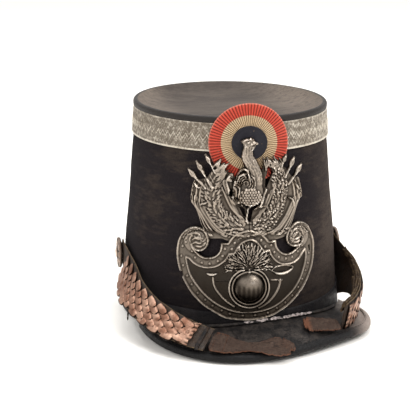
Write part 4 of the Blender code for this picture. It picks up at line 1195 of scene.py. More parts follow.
def draw_device(relief):
    """The ball in its ring, the hunting horn and the flames above."""
    relief.dome(BALL_CENTRE, BALL_RADIUS, BALL_CREST, power=0.6)
    for radius, thick, crest in ((RING_RADII[0], 0.85, 1.6), (RING_RADII[1], 0.95, 1.9)):
        relief.ridge(circle(BALL_CENTRE, radius), thick, crest)
    relief.strokes((
        (0.85, 1.4, 0.0, 30, HORN_LEFT), (1.15, 1.6, 0.0, 30, HORN_RIGHT),
        (0.35, 0.4, 0.0, 0, ((-25.6, 46.5), (-15.5, 46.8))),
        (0.5, 0.8, 0.0, 0, ((15.4, 46.5), (25.6, 46.0))),
        (0.8, 1.2, 0.0, 0, ((22.0, 45.6), (24.6, 45.6))),
        (1.3, 2.2, 0.6, 0, ((-31.4, 51.9), (-28.6, 51.0), (-26.0, 51.2), (-23.8, 52.4))),
        (0.6, 1.3, 0.0, 60, BELL + BELL[:1]),
        (1.5, 2.6, 0.7, 24, ((17.6, 53.0), (20.5, 51.3), (24.5, 50.6), (29.0, 51.2), (33.4, 53.2))),
    ))
    relief.ridge([(-0.4, 55.6), (-0.4, 51.2)], 1.1, 2.6, layer=relief.form)
    before = relief.line.copy()
    rng = random.Random(21)
    for strokes, start, length in ((13, 2.2, 6.4), (21, 5.6, 6.4), (29, 9.0, 6.2), (37, 12.4, 6.2)):
        for turn in np.radians(np.linspace(-97.0, 97.0, strokes)):
            lean = turn + rng.uniform(-0.04, 0.04)
            wave = rng.choice((-1, 1)) * rng.uniform(0.02, 0.05)
            path = []
            for share in np.linspace(0.0, 1.0, 6):
                away = start + (length + rng.uniform(-0.3, 0.3)) * share
                bend = lean + wave * math.sin(share * math.pi * 1.5)
                path.append((FLAME_FOOT[0] + away * math.sin(bend),
                             FLAME_FOOT[1] + 1.02 * away * math.cos(bend)))
            relief.ridge(path, rng.uniform(0.5, 0.62), rng.uniform(1.5, 2.1), 0.7)
    relief.line = np.where(relief.inside(field_outline()), relief.line, before)
    relief.dome((FLAME_FOOT[0], FLAME_FOOT[1] + 4.0), 15.0, 1.3)
    relief.ridge([(-6.5, 56.4), (5.4, 56.4)], 0.9, 1.6, 0.4, relief.cut)


def draw_flags(relief):
    """The flags' folds, their turned edges and the poles' heads."""
    inner_left = ((-12.0, 80.5), (-17.5, 82.0), (-22.0, 84.5), (-26.0, 88.0), (-29.5, 92.0), (-32.5, 96.5),
                  (-35.0, 101.0), (-36.0, 106.0), (-35.5, 112.0), (-34.0, 117.0))
    inner_right = tuple((-across + 0.6, height + 0.4) for across, height in inner_left)
    for outer, inner in ((smooth_rows(FLAG_LEFT, 40), smooth_rows(inner_left, 40)),
                         (smooth_rows(FLAG_RIGHT, 40), smooth_rows(inner_right, 40))):
        relief.ridge(outer, 1.0, 1.5)
        for share, half_width, crest in ((0.16, 1.0, 1.3), (0.34, 1.1, 1.7), (0.52, 1.0, 1.2),
                                         (0.70, 1.2, 1.7), (0.88, 1.0, 1.3), (1.0, 0.9, 1.4)):
            relief.ridge(between(outer, inner, share)[:30], half_width, crest, 0.55)
        relief.ridge(between(outer, inner, 0.42)[26:], 0.8, 1.0, 0.6)
        relief.ridge(between(outer, inner, 0.75)[24:], 0.9, 1.1, 0.6)
    turned = (((-37.8, 100.6), (-36.4, 102.4), (-34.0, 103.0), (-31.6, 104.4)),
              ((33.0, 105.6), (35.6, 104.4), (37.2, 101.6), (37.4, 98.4)),
              ((-42.4, 117.0), (-40.8, 114.6), (-38.6, 114.0)), ((39.0, 115.4), (41.0, 113.6), (42.6, 111.0)))
    relief.strokes([(1.0, 2.4, 0.5, 20, path) for path in turned])
    for foot, tip, half_width in SPEARS:
        foot, tip = np.array(foot), np.array(tip)
        way = (tip - foot) / np.linalg.norm(tip - foot)
        relief.ridge([foot, tip - way * 6.0], 0.95, 1.8)
        relief.leaf(tip - way * 8.5, tip, half_width, 1.8)


def draw_laurel(relief):
    """Two leafy boughs: a laurel on the left, an oak with its acorns on the right."""
    rng = random.Random(8)
    left = smooth_rows(((-3.0, 85.0), (-12.0, 86.8), (-20.5, 91.0), (-27.0, 99.5), (-29.0, 110.0),
                        (-26.5, 120.0), (-21.5, 129.0)), 60)
    right = smooth_rows(((3.0, 85.5), (10.5, 88.0), (17.5, 93.0), (23.0, 101.0), (25.5, 111.0),
                         (24.5, 121.0), (20.5, 131.0)), 60)
    for hand, path in enumerate((left, right)):
        relief.ridge(path, 6.6, 1.2, layer=relief.form)
        for number in range(1, 58, 2):
            way = path[number + 1] - path[number]
            heading = math.atan2(way[1], way[0])
            side_way = np.array((-math.sin(heading), math.cos(heading)))
            for across in (-5.0, -3.0, -1.0, 1.0, 3.0, 5.0):
                foot = path[number] + side_way * (across + rng.uniform(-1.0, 1.0))
                turn = heading + math.copysign(0.35, across) + 0.09 * across + rng.uniform(-0.45, 0.45)
                length = rng.uniform(3.4, 5.2) if hand == 0 else rng.uniform(2.2, 3.4)
                tip = foot + length * np.array((math.cos(turn), math.sin(turn)))
                relief.leaf(foot, tip, rng.uniform(0.55, 0.85), rng.uniform(0.6, 2.0),
                            rng.uniform(-0.12, 0.12))
                if hand == 1 and rng.random() < 0.55:
                    relief.dome(foot, rng.uniform(0.6, 0.9), rng.uniform(1.6, 2.4), relief.line)
    for low, high, least, most, count in (((-29.0, 120.0), (-20.5, 130.0), 24.0, 64.0, 36),
                                          ((13.0, 124.0), (29.0, 131.0), 76.0, 140.0, 36)):
        for _ in range(count):
            foot = (rng.uniform(low[0], high[0]), rng.uniform(low[1], high[1]))
            turn = math.radians(rng.uniform(least, most))
            length = rng.uniform(4.5, 7.5)
            tip = (foot[0] + length * math.cos(turn), foot[1] + length * math.sin(turn))
            relief.leaf(foot, tip, 0.8, rng.uniform(1.2, 2.2), free=True)
    for side in (-1, 1):
        for _ in range(14):
            foot = np.array((side * rng.uniform(1.0, 29.0), rng.uniform(79.0, 87.0)))
            tip = foot + (side * rng.uniform(4.0, 7.5), rng.uniform(-1.2, 2.4))
            relief.leaf(foot, tip, 0.9, rng.uniform(1.2, 2.0))
        for number in range(4):
            path = ((side * 3.4, 88.5 + number), (side * (8.0 + 1.6 * number), 95.0 + 1.6 * number),
                    (side * (13.0 + 2.6 * number), 106.0 + 3.0 * number))
            relief.ridge(smooth_rows(path, 14), 1.2, 0.9 + 0.4 * (number % 2), 0.3)


def draw_bird(relief):
    """The bird: neck hackles, breast scales, folded wing, tail, legs and head."""
    relief.dome((0.2, 111.5), 11.5, 3.8, power=0.7)
    neck = ((6.0, 119.0), (5.6, 125.0), (2.6, 131.0), (-1.0, 137.0), (-1.2, 143.0), (0.2, 147.0))
    relief.strokes((
        (7.5, 3.4, 0.0, 16, ((4.5, 106.0), (4.0, 112.0), (3.0, 118.0))),
        (5.2, 3.4, 0.0, 30, neck),
        (2.6, 3.0, 0.5, 0, ((-5.6, 148.2), (0.0, 147.6), (6.2, 147.0))),
        (6.4, 2.0, 0.0, 0, ((-8.6, 108.0), (-7.6, 114.0), (-5.4, 121.0))),
        (3.2, 1.4, 0.0, 0, ((-13.2, 112.0), (-14.6, 118.0), (-14.2, 122.5))),
    ), relief.form)
    relief.strokes((
        (1.0, 3.2, 0.2, 30, ((-11.4, 117.5), (-10.4, 121.6), (-9.2, 125.2), (-6.6, 127.9), (-3.6, 128.6),
                             (-1.2, 126.6), (-0.2, 123.2), (0.2, 120.4))),
        (0.8, 2.6, 0.3, 0, ((-9.4, 119.0), (-7.6, 123.6), (-4.4, 125.2), (-2.6, 122.6))),
        (0.95, 2.6, 0.0, 14, LEG),
        (0.85, 2.6, 0.4, 0, ((5.6, 104.0), (6.6, 101.6), (12.8, 101.2))),
        (0.7, 2.2, 0.4, 0, ((7.2, 101.6), (10.0, 99.8))),
        (0.7, 2.2, 0.4, 0, ((-1.3, 90.4), (-4.4, 91.6))),
        (0.7, 2.2, 0.4, 0, ((-1.3, 90.4), (2.0, 89.2))),
        (0.9, 1.7, 0.3, 20, ((-6.2, 148.1), (-3.4, 149.3), (-0.4, 150.0), (2.6, 150.1), (3.9, 149.4))),
        (0.8, 1.7, 0.3, 16, ((7.0, 147.0), (5.2, 145.2), (3.2, 143.0), (1.4, 141.8))),
        (1.0, 1.9, 0.0, 0, ((13.6, 113.0), (8.0, 101.5))),
    ))
    rng = random.Random(5)
    middle = smooth_rows(neck, 30)
    for number in range(3, 27, 2):
        way = middle[number] - middle[number - 1]
        way = way / np.linalg.norm(way)
        side = np.array((-way[1], way[0]))
        for across in np.linspace(-3.6, 3.6, 5):
            foot = middle[number] + side * (across + rng.uniform(-0.4, 0.4)) + way * 1.6
            tip = foot - way * rng.uniform(3.0, 4.4) + side * 0.12 * across
            relief.leaf(foot, tip, 0.55, rng.uniform(0.5, 0.9))
    for row in range(7):
        height = 102.6 + 1.9 * row
        for column in range(10):
            across = -9.0 + 2.1 * column + (1.05 if row % 2 else 0.0)
            if math.hypot((across - 0.6) / 9.4, (height - 107.4) / 7.2) < 1.0:
                relief.dome((across, height), 1.1, 1.5, relief.line, 1.1)
    for number in range(4):
        reach = 1.6 + 1.75 * number
        turns = np.linspace(math.radians(-50), math.radians(205), 20)
        path = np.stack([-2.6 + reach * np.cos(turns), 118.6 + 0.95 * reach * np.sin(turns)], axis=-1)
        relief.ridge(path, 0.6, 1.3, 0.3)
    for number in range(5):
        share = number / 4.0
        top = (-10.8 + 3.8 * share, 120.0 - 2.0 * share)
        foot = (-12.2 + 5.4 * share, 106.6 - 0.4 * share)
        relief.ridge(smooth_rows((top, ((top[0] + foot[0]) / 2 - 0.6, 114.0), foot), 12), 0.62, 2.4, 0.5)
    for number in range(6):
        share = number / 5.0
        path = ((-12.6 - 0.9 * number, 108.0 + 0.6 * number), (-15.6 - 0.8 * number, 115.0 + 0.5 * number),
                (-17.2 - 0.3 * number, 120.5), (-15.0 + 0.4 * number, 124.4 - 0.9 * number))
        relief.ridge(smooth_rows(path, 16), 0.7, 2.2 - 0.6 * share, 0.5)
    relief.dome((-0.6, 147.6), 0.7, 1.2, relief.line)
    for number in range(5):
        foot = (-3.4 + 1.7 * number, 144.0 + 0.5 * number)
        relief.ridge([foot, (foot[0] + 1.8, foot[1] + 1.6)], 0.4, 0.9, 0.4)


def contour(inside, values, step, low):
    """Points and faces of the part of a grid where a field is positive, cut along its zero line."""
    points = []
    carried = []
    corner = {}
    crossing = {}

    def at_corner(row, column):
        if (row, column) not in corner:
            corner[(row, column)] = len(points)
            points.append((low[0] + column * step, low[1] + row * step))
            carried.append(values[row, column])
        return corner[(row, column)]

    def at_crossing(first, second):
        key = (min(first, second), max(first, second))
        if key not in crossing:
            start, end = inside[first], inside[second]
            share = min(max(start / (start - end), 0.02), 0.98)
            place = np.array(first) * (1 - share) + np.array(second) * share
            crossing[key] = len(points)
            points.append((low[0] + place[1] * step, low[1] + place[0] * step))
            carried.append(values[first] * (1 - share) + values[second] * share)
        return crossing[key]

    faces = []
    positive = inside > 0
    count = (positive[:-1, :-1].astype(int) + positive[1:, :-1] + positive[:-1, 1:] + positive[1:, 1:])
    for row, column in np.argwhere(count > 0).tolist():
        cell = ((row, column), (row, column + 1), (row + 1, column + 1), (row + 1, column))
        face = []
        for index, here in enumerate(cell):
            there = cell[(index + 1) % 4]
            if positive[here]:
                face.append(at_corner(*here))
            if positive[here] != positive[there]:
                face.append(at_crossing(here, there))
        faces.append(face)
    return np.array(points), np.array(carried), faces


def make_plate(plate):
    """The pierced, stamped plate, raised from one drawing and bent round the felt."""
    relief = Relief(np.array((-60.0, 14.0)), np.array((62.0, 154.0)), plate.detail / MM)
    rims = draw_shield(relief)
    draw_scrolls(relief)
    field = np.clip(relief.signed(field_outline()) / 0.8, 0, 1)
    draw_device(relief)
    draw_flags(relief)
    draw_laurel(relief)
    draw_bird(relief)
    shield = [tuple(point) for path in (RIM_LEFT, SWOOP_LEFT, ARCH, SWOOP_RIGHT, RIM_RIGHT[::-1],
                                        RIM_BOTTOM[::-1][1:-1]) for point in path]
    outlines = (shield, TROPHY_LEFT, TROPHY_RIGHT, BIRD)
    whole = np.maximum.reduce([relief.metal] + [relief.signed(outline) for outline in outlines])
    everywhere = np.s_[:, :]
    for path in rims:
        whole = np.maximum(whole, 0.8 - relief.away(everywhere, path)[0])
    whole = np.maximum(whole, 0.9 - relief.away(everywhere, LEG)[0])
    for foot, tip, half_width in SPEARS:
        distance, share = relief.away(everywhere, [foot, tip])
        blade = np.clip((share - 0.45) / 0.55, 0.12, 0.97)
        width = np.where(share > 0.45, half_width * np.sin(np.pi * blade), 0.0)
        whole = np.maximum(whole, np.maximum(width, 0.85) - distance)
    for hole in PIERCINGS:
        whole = np.minimum(whole, -relief.signed(hole))
    bulge = 0.8 * np.clip(1 - (relief.u / 60.0) ** 2 - ((relief.v - 45.0) / 40.0) ** 2, 0, 1)
    height = relief.form + relief.line - relief.cut + bulge - 0.25 * field
    height *= np.clip(whole / 0.5, 0.35, 1.0)
    crest = (0.5 + 0.46 * (height - relief.smoothed(height, 1.4))
             + 0.08 * (height - relief.smoothed(height, 5.0)))
    # Painted highlight on the ball: a bright spot above and right of its middle, faint streaks low down and a
    # bright lower rim, written into crest.
    up, over = relief.v - BALL_CENTRE[1], relief.u - BALL_CENTRE[0]
    on_ball = np.clip((BALL_RADIUS - np.hypot(over, up)) / 0.6, 0, 1)
    shine = 0.36 + 0.55 * np.exp(-((over - 2.0) / 6.5) ** 2 - ((up - 4.6) / 3.6) ** 2)
    shine += 0.06 * np.sin(1.9 * over) * (up < 2)
    shine += 0.42 * np.clip((np.hypot(over, up) - 9.0) / 1.5, 0, 1) * (up < 0)
    crest = crest + (shine - crest) * on_ball
    values = np.stack([height * plate.relief_depth, crest, field * (1 - on_ball)], axis=-1)
    flat, carried, faces = contour(whole, values, relief.step, relief.low)
    across, up = as_seen(flat[:, 0], flat[:, 1], plate_lift(flat[:, 1]) + PLATE_SHEET)
    out = plate_lift(up)
    front = wrap(across, up, out + PLATE_SHEET + carried[:, 0])
    back = wrap(across, up, out)
    values = {"crest": np.concatenate([carried[:, 1], carried[:, 1] * 0.5]),
              "field": np.concatenate([carried[:, 2], carried[:, 2]])}
    piece = new_piece("plate_stamping", np.vstack([front, back]), sheet_faces(faces, len(flat)),
                      plate_finish(plate), 62.0, values=values)
    set_on_hat(piece, "white_metal", "front_plate")


def make_cockade(cockade, scatter):
    """The painted cockade: one fold repeated round a circle and laid on the hat's front, and its boss."""
    count = cockade.pleats
    half = math.pi / count
    radii = np.linspace(BLUE_RADIUS - 0.4, COCKADE_RADIUS, 16)
    points = []
    crests = []
    for radius in radii:
        outer = np.clip((COCKADE_RADIUS - radius) / 1.2, 0, 1)
        inner = np.clip((radius - BLUE_RADIUS + 0.4) / 1.0, 0, 1)
        for side in np.linspace(-1.0, 1.0, 7):
            fold = 1.0 - abs(side)
            level = 0.85 + 0.95 * fold * min(0.45 + 0.55 * outer, 0.25 + 0.75 * inner)
            points.append((radius * math.cos(side * half), radius * math.sin(side * half), level))
            crests.append(fold)
    for radius in (radii[-1], radii[0]):
        for side in np.linspace(-1.0, 1.0, 7):
            points.append((radius * math.cos(side * half), radius * math.sin(side * half), 0.0))
    crests += [0.0] * 14
    faces = grid_faces(len(radii) + 2, 7, across=True)[0].tolist()
    fold = unit_shape("pleat", points, faces, {"crest": crests})
    turns = np.arange(count) * 2 * half
    spots = [(-HAT_CENTRE / MM, (0, 0, 1), (math.cos(turn), math.sin(turn), 0), (1, 1, 1)) for turn in turns]
    paint = cockade_finish(cockade)
    piece = scatter.make("cockade_pleats", spots, fold, paint, smooth_below=80.0)
    lay_cockade(piece)
    set_on_hat(piece, "painted_tin", "cockade")
    set_on_hat(cockade_disc(paint), "painted_tin")


def lay_cockade(piece):
    """Joins the folds and bends the flat cockade round the front of the hat."""
    bm = bmesh.new()
    bm.from_mesh(piece.data)
    bmesh.ops.remove_doubles(bm, verts=bm.verts, dist=0.02 * MM)
    radii = bm.verts.layers.float.new("radius")
    for vert in bm.verts:
        x, y, z = vert.co / MM
        radius = math.hypot(x, y)
        vert[radii] = radius
        level = z + 0.10 * noise.noise(Vector((x * 0.25, y * 0.25, 3.0))) * (z > 0.1)
        place = wrap(COCKADE_ACROSS + COCKADE_STRETCH * x, COCKADE_HEIGHT + y, COCKADE_STAND_OFF + level)
        vert.co = Vector((place * MM + HAT_CENTRE).tolist())
    bmesh.ops.recalc_face_normals(bm, faces=bm.faces)
    bm.to_mesh(piece.data)
    bm.free()


def cockade_disc(paint):
    """The plain boss in the middle, with a raised ring at its edge, from rows of radius and level."""
    rows = ((0.0, 2.3), (3.0, 2.3), (6.0, 2.2), (9.0, 2.0), (10.6, 1.9), (11.2, 2.2), (11.8, 2.3),
            (12.2, 2.0), (12.3, 1.2), (12.3, 0.4), (6.0, 0.4), (0.0, 0.4))
    columns = 72
    points = []
    radii = []
    for radius, level in rows[1:-1]:
        for turn in np.linspace(0.0, 2 * math.pi, columns, endpoint=False):
            wave = 0.05 * math.cos(12 * turn) * (3.0 < radius < 10.7)
            points.append(wrap(COCKADE_ACROSS + COCKADE_STRETCH * radius * math.sin(turn),
                               COCKADE_HEIGHT + radius * math.cos(turn), COCKADE_STAND_OFF + level + wave))
            radii.append(min(radius, BLUE_RADIUS - 0.8))
    for level in (rows[0][1], rows[-1][1]):
        points.append(wrap(COCKADE_ACROSS, COCKADE_HEIGHT, COCKADE_STAND_OFF + level))
        radii.append(0.0)
    values = {"radius": radii, "crest": np.ones(len(points))}
    return new_piece("cockade_boss", points, turned_faces(len(rows) - 2, columns), paint, values=values)


class Spot:
    """A place along a ribbon: its middle, the ways to its upper edge, out of its face and on, and its row."""

    def __init__(self, centre, edge_way, face_way, travel, row):
        self.centre = centre
        self.edge_way = edge_way
        self.face_way = face_way
        self.travel = travel
        self.row = row

    def at(self, up, out):
        return self.centre + self.edge_way * up + self.face_way * out

    def moved(self, up, out):
        return Spot(self.at(up, out), self.edge_way, self.face_way, self.travel, self.row)


def ribbon_spots(rows, count):
    """Evenly numbered places along a ribbon, from its table of azimuths, heights, stand-offs and leans."""
    table = smooth_rows(rows, count)
    centres = [Vector(wall_place(row[0], row[1], row[2])) for row in table]
    spots = []
    last = count - 1
    for index, row in enumerate(table):
        travel = (centres[min(index + 1, last)] - centres[max(index - 1, 0)]).normalized()
        outward = wall_out(row[0], row[1])
        outward = (outward - travel * outward.dot(travel)).normalized()
        upward = outward.cross(travel)
        if upward.z < 0:
            upward = -upward
        lean = math.radians(row[3])
        edge_way = upward * math.cos(lean) - outward * math.sin(lean)
        face_way = outward * math.cos(lean) + upward * math.sin(lean)
        spots.append(Spot(centres[index], edge_way, face_way, travel, row))
    return spots


def ribbon_piece(name, spots, sides, thickness, material, ragged=0.0, seed=0.0, buckle=0.0, frayed=0.0,
                 rounded=0.09):
    """A leather ribbon with a rounded section; sides gives its two half-widths at each spot.

    ragged shifts its edges and buckle its faces, frayed bares its far half, and rounded is the share of its
    length over which its start narrows.
    """
    section = []
    for across in np.linspace(1.0, -1.0, 15):
        section.append((across, 1.0 - 0.75 * across ** 10))
    section += [(across, -height) for across, height in section[::-1]]
    rings = []
    raw = []
    for number, spot in enumerate(spots):
        upper, lower = sides(spot.row, number)
        start = math.sqrt(min(1.0, (number + 1.0) / (rounded * len(spots))))
        upper, lower = upper * start, lower * start
        far = min(max(number / (len(spots) - 1.0) - 0.5, 0.0) / 0.32, 1.0)
        upper += ragged * noise.noise(Vector((number * 0.11, seed, 0.3)))
        lower += ragged * noise.noise(Vector((number * 0.11, seed, 5.3)))
        ring = []
        for across, height in section:
            reach = across * (upper if across > 0 else lower)
            wave = buckle * noise.noise(Vector((number * 0.07, across * 1.3, seed)))
            ring.append(tuple(spot.at(reach, height * thickness / 2 + wave)))
            raw.append(max(0.72 * abs(across) ** 8, frayed * far * (height > 0)))
        rings.append(ring)
    return new_piece(name, rings, tube_faces(len(rings), len(section)), material, 50.0, values={"raw": raw})


def make_strap_leather(leather):
    """The two straps; the right one is slack and shows its wide dark inner side."""
    hide = hide_finish(leather, "strap_leather", "strap", "worn", 1200.0, 0.55, 0.5, 80.0, raw="strap_worn")
    count = 170
    for side, rows, hang in (("left", STRAP_LEFT, 0.0), ("right", STRAP_RIGHT, 16.5)):

        def sides(row, number):
            slack = hang * math.exp(-((row[0] - 73.0) / 8.0) ** 2)
            return STRAP_HALF_WIDTH + 0.6, STRAP_HALF_WIDTH + slack

        piece = ribbon_piece("strap_leather_" + side, ribbon_spots(rows, count), sides, STRAP_LEATHER, hide,
                             0.5, 2.0, 0.15)
        set_on_hat(piece, "brown_leather", "strap_" + side)
    raw_hide = hide_finish(leather, "raw_leather", "strap", "strap_worn", 1500.0, 0.7, 0.9, 240.0)
    # The plies of the split edge: first and last spot, way in, way up and half-width
    plies = ((52, 169, 1.6, 9.4, 2.4), (70, 168, 3.0, 8.4, 2.8), (96, 165, 4.2, 5.0, 3.4))
    for number, (first, last, inward, along, half) in enumerate(plies):
        ply = [spot.moved(along, -inward) for spot in ribbon_spots(STRAP_RIGHT, count)[first:last]]
        piece = ribbon_piece("strap_ply_%d" % number, ply, lambda row, step: (half, half), 1.3, raw_hide,
                             1.6, 4.0 + number, 0.7)
        set_on_hat(piece, "brown_leather")
    keeper = [spot.moved(0.0, 0.4) for spot in ribbon_spots(STRAP_LEFT, 400)[372:384]]
    loop = ribbon_piece("strap_keeper", keeper, lambda row, step: (11.3, 11.3), 3.6,
                        hide_finish(leather, "keeper_leather", "dark", "strap", patch=200.0), 0.2, 6.0)
    set_on_hat(loop, "brown_leather")


def scale_shape(scales):
    """One domed scale with a round tip; +X runs to the tip and +Z faces out."""
    length, width = scales.scale_length / MM, scales.scale_width / MM
    rows, columns = 10, 9
    top = []
    crests = []
    for step in range(rows):
        share = step / (rows - 1)
        along = -0.45 * length + length * share
        half = 0.5 * width * (0.92 + 0.08 * math.sin(math.pi * share))
        if share > 0.5:
            half *= math.sqrt(max(1.0 - ((share - 0.5) / 0.5) ** 2.4, 0.0))
        half = max(half, 0.35)
        for side in np.linspace(-1.0, 1.0, columns):
            edge = max(abs(side), max(0.0, (share - 0.62) / 0.38) ** 2)
            dome = 0.85 * (1.0 - abs(side) ** 2.5) * (1.0 - 0.55 * max(0.0, (share - 0.6) / 0.4) ** 2)
            rim = 0.22 * math.exp(-((edge - 0.86) / 0.09) ** 2)
            top.append((along, side * half, 0.25 + dome + 0.09 * (along + 0.45 * length) + rim))
            crests.append(1.0 - max(0.0, (edge - 0.70) / 0.30) ** 1.2)
    under = [(x, y, max(z - 1.15, 0.05)) for x, y, z in top]
    count = rows * columns
    faces = sheet_faces(grid_faces(rows, columns)[0].tolist(), count)
    return unit_shape("copper_scale", top + under, faces, {"crest": crests + [0.0] * count})


def make_scales(scales, scatter):
    """Copper scales sewn along each strap, larger towards the free end and leaning to its lower edge."""
    copper = copper_finish("copper_finish", scales, scales.colour, scales.pale_colour)
    lean = math.radians(scales.scale_lean)
    upper, lower, reach = 7.6, -10.4, 6.0
    # Each side: its strap, the share of it before the first scales and the bare length at its end
    for side, rows, first, bare in (("left", STRAP_LEFT, 0.235, 12.0), ("right", STRAP_RIGHT, 0.19, 3.0)):
        spots = ribbon_spots(rows, 600)
        centres = np.array([tuple(spot.centre) for spot in spots])
        lengths = np.concatenate([[0.0], np.cumsum(np.linalg.norm(np.diff(centres, axis=0), axis=1))])
        place = first * lengths[-1]
        placed = []
        number = 0
        while place < lengths[-1] - bare - reach:
            grown = 0.82 + 0.42 * place / lengths[-1]
            spot = spots[int(np.searchsorted(lengths, place))]
            width = scales.scale_width / MM * grown
            across = upper - (0.5 * width if number % 2 else 0.0)
            while across > lower:
                low = max(0.0, (-5.0 - across) / 5.4)
                foot = spot.at(across - 1.3 + 1.6 * low, STRAP_LEATHER / 2 + GAP)
                aim = spot.travel * math.cos(lean * (1 - low)) - spot.edge_way * math.sin(lean * (1 - low))
                placed.append((foot, spot.face_way, aim, (grown * (1 - 0.25 * low), grown, 1.0)))
                across -= width
            place += scales.row_pitch / MM * grown
            number += 1
        piece = scatter.make("scales_copper_" + side, placed, scale_shape(scales), copper, vary=0.04, seed=3,
                             smooth_below=50.0)
        set_on_hat(piece, "copper", "scales_" + side)
        make_end_plate(side, spots, lengths, lengths[-1] - bare, copper)


def make_end_plate(side, spots, lengths, end, copper):
    """The last tongue of copper at a strap's free end, with its rivet and chased rays."""
    rows, columns = 22, 41
    half = 10.8
    foot = STRAP_LEATHER / 2 + GAP
    picked = [spots[int(np.searchsorted(lengths, place))] for place in np.linspace(end - 8.0, end, rows)]
    top = []
    under = []
    crests = []
    for number, spot in enumerate(picked):
        share = number / (rows - 1.0)
        for column in np.linspace(-1.0, 1.0, columns):
            bow = 1.0 - 0.14 * (1 - share) * column ** 2
            scallop = 0.9 * abs(math.sin(1.5 * math.pi * column)) * share
            rivet = math.hypot((share - 0.45) * 7.9, column * half + 0.4)
            ring = math.exp(-((rivet - 2.3) / 0.4) ** 2)
            rays = 0.22 * math.cos(18.0 * column) * np.clip((share - 0.55) / 0.3, 0, 1)
            rise = (0.9 + 0.7 * math.sqrt(max(1 - column ** 4, 0.0)) + rays
                    + 1.1 * math.sqrt(max(1 - (rivet / 1.3) ** 2, 0.0)) + 0.35 * ring)
            top.append(tuple(spot.at(half * column * bow - 0.6, foot + rise) + spot.travel * (scallop * 1.2)))
            under.append(tuple(spot.at(half * column - 0.6, foot)))
            crests.append(float(np.clip(0.75 + rays * 1.6 + 0.4 * ring, 0, 1)))
    count = rows * columns
    faces = sheet_faces(grid_faces(rows, columns)[0].tolist(), count)
    piece = new_piece("scale_end_plate_" + side, top + under, faces, copper,
                      values={"crest": crests + [0.1] * count})
    set_on_hat(piece, "copper")


def make_bosses(scales):
    """Copper rosettes: a domed middle, eight petals and a corded rim."""
    copper = copper_finish("rosette_copper_finish", scales, scales.rosette_colour, scales.rosette_pale_colour)
    columns = 96
    up = Vector((0, 0, 1))
    foot = STRAP_LEFT[1][2] + STRAP_LEATHER / 2 + GAP + 0.1
    profile = smooth_rows(((0.4, 5.0), (2.4, 4.8), (4.2, 4.0), (5.0, 3.1), (6.2, 3.4), (8.0, 3.3), (9.6, 2.6),
                           (10.4, 2.5), (11.3, 3.0), (11.9, 2.3), (11.7, 1.2), (10.0, 0.5), (7.0, 0.0)), 60)
    for side, azimuth in (("left", -BOSS_AZIMUTH), ("right", BOSS_AZIMUTH)):
        out = wall_out(azimuth, BOSS_HEIGHT)
        middle = Vector(wall_place(azimuth, BOSS_HEIGHT))
        across = up.cross(out)
        points = []
        crests = []
        for radius, level in profile:
            for turn in np.linspace(0.0, 2 * math.pi, columns, endpoint=False):
                petal = abs(math.cos(4 * turn))
                leafy = math.exp(-((radius - 7.4) / 1.9) ** 2)
                cord = math.exp(-((radius - 11.4) / 0.6) ** 2)
                rise = level + leafy * (0.7 * petal - 0.5) + 0.14 * cord * math.cos(48 * turn)
                points.append(tuple(middle + out * (foot + max(rise, 0.0)) + across * radius * math.cos(turn)
                                    + up * radius * math.sin(turn)))
                crests.append(min(1.0, 0.35 + leafy * petal + 0.5 * cord + 0.6 * (radius < 4.2)))
        piece = new_piece("boss_rosette_" + side, points, tube_faces(len(profile), columns), copper,
                          values={"crest": crests})
        set_on_hat(piece, "copper", "boss_" + side)


def make_ties(leather, scatter):
    """The loose leather ends on the peak: a stitched fold, a twist and a torn tip."""
    hide = hide_finish(leather, "tie_leather", "tie", "tie_worn", 1500.0, 0.66, 0.7, 210.0, raw="rust")
    count = 90
    for side, rows, seed, frayed in (("left", TIE_LEFT, 3.0, 0.5), ("right", TIE_RIGHT, 8.0, 0.85)):

        def sides(row, number):
            end = max(0.0, number - count + 14) / 14.0
            notch = 3.0 * math.exp(-((number - 0.84 * count) / 2.5) ** 2)
            torn = (0.8 + 1.8 * end) * noise.noise(Vector((number * 0.45, seed, 1.0)))
            worn = 1.2 * noise.noise(Vector((number * 0.4, seed, 7.0)))
            return row[4] + torn - 0.8 * notch, row[4] + worn - notch

        piece = ribbon_piece("tie_leather_" + side, ribbon_spots(rows, count), sides, 1.5, hide, 0.0, seed,
                             0.9, frayed, 0.03)
        set_on_hat(piece, "brown_leather", "tie_" + side)
    thread = hide_finish(leather, "tie_thread", "rust", "tie", shine=0.7, patch=300.0)
    spots = ribbon_spots(TIE_LEFT, 200)
    crossing = [(number, across, 0.85) for across in np.linspace(-7.6, 7.6, 9) for number in (6, 34)]
    following = [(number, across, 0.75) for number in range(8, 34, 6) for across in (-8.0, 8.0)]
    sewn = []
    for number, across, above in crossing + following:
        spot = spots[number]
        heading = spot.edge_way if above == 0.85 else spot.travel
        sewn.append((spot.at(across, above), spot.face_way, heading, (1, 1, 1)))
    piece = scatter.make("tie_stitches", sewn, stitch_shape(1.5, 0.2), thread, vary=0.1, seed=6)
    set_on_hat(piece, "brown_leather")


def make_thong(leather):
    """The short twisted end of thong below the left strap."""
    spot = min(ribbon_spots(STRAP_LEFT, 200), key=lambda found: abs(found.row[0] - THONG_AZIMUTH))
    foot = spot.at(1.5 - STRAP_HALF_WIDTH, -(STRAP_LEATHER / 2 + GAP + 0.96))
    rings = []
    for share in np.linspace(0.0, 1.0, 30):
        place = foot - Vector((0.6 * share ** 2, 0.4 * share ** 2, THONG_LENGTH * share))
        ring = []
        for turn in np.linspace(0.0, 2 * math.pi, 12, endpoint=False):
            thick = 0.6 * (1.0 + 0.16 * math.cos(2 * turn + 22.0 * share)) * (1.0 - 0.3 * share ** 6)
            ring.append(tuple(place + Vector((thick * math.cos(turn), thick * math.sin(turn), 0.0))))
        rings.append(ring)
    hide = hide_finish(leather, "thong_leather", "dark", "tie", shine=0.6, patch=200.0)
    piece = new_piece("thong_end", rings, tube_faces(30, 12), hide)
    set_on_hat(piece, "brown_leather", "strap_thong")


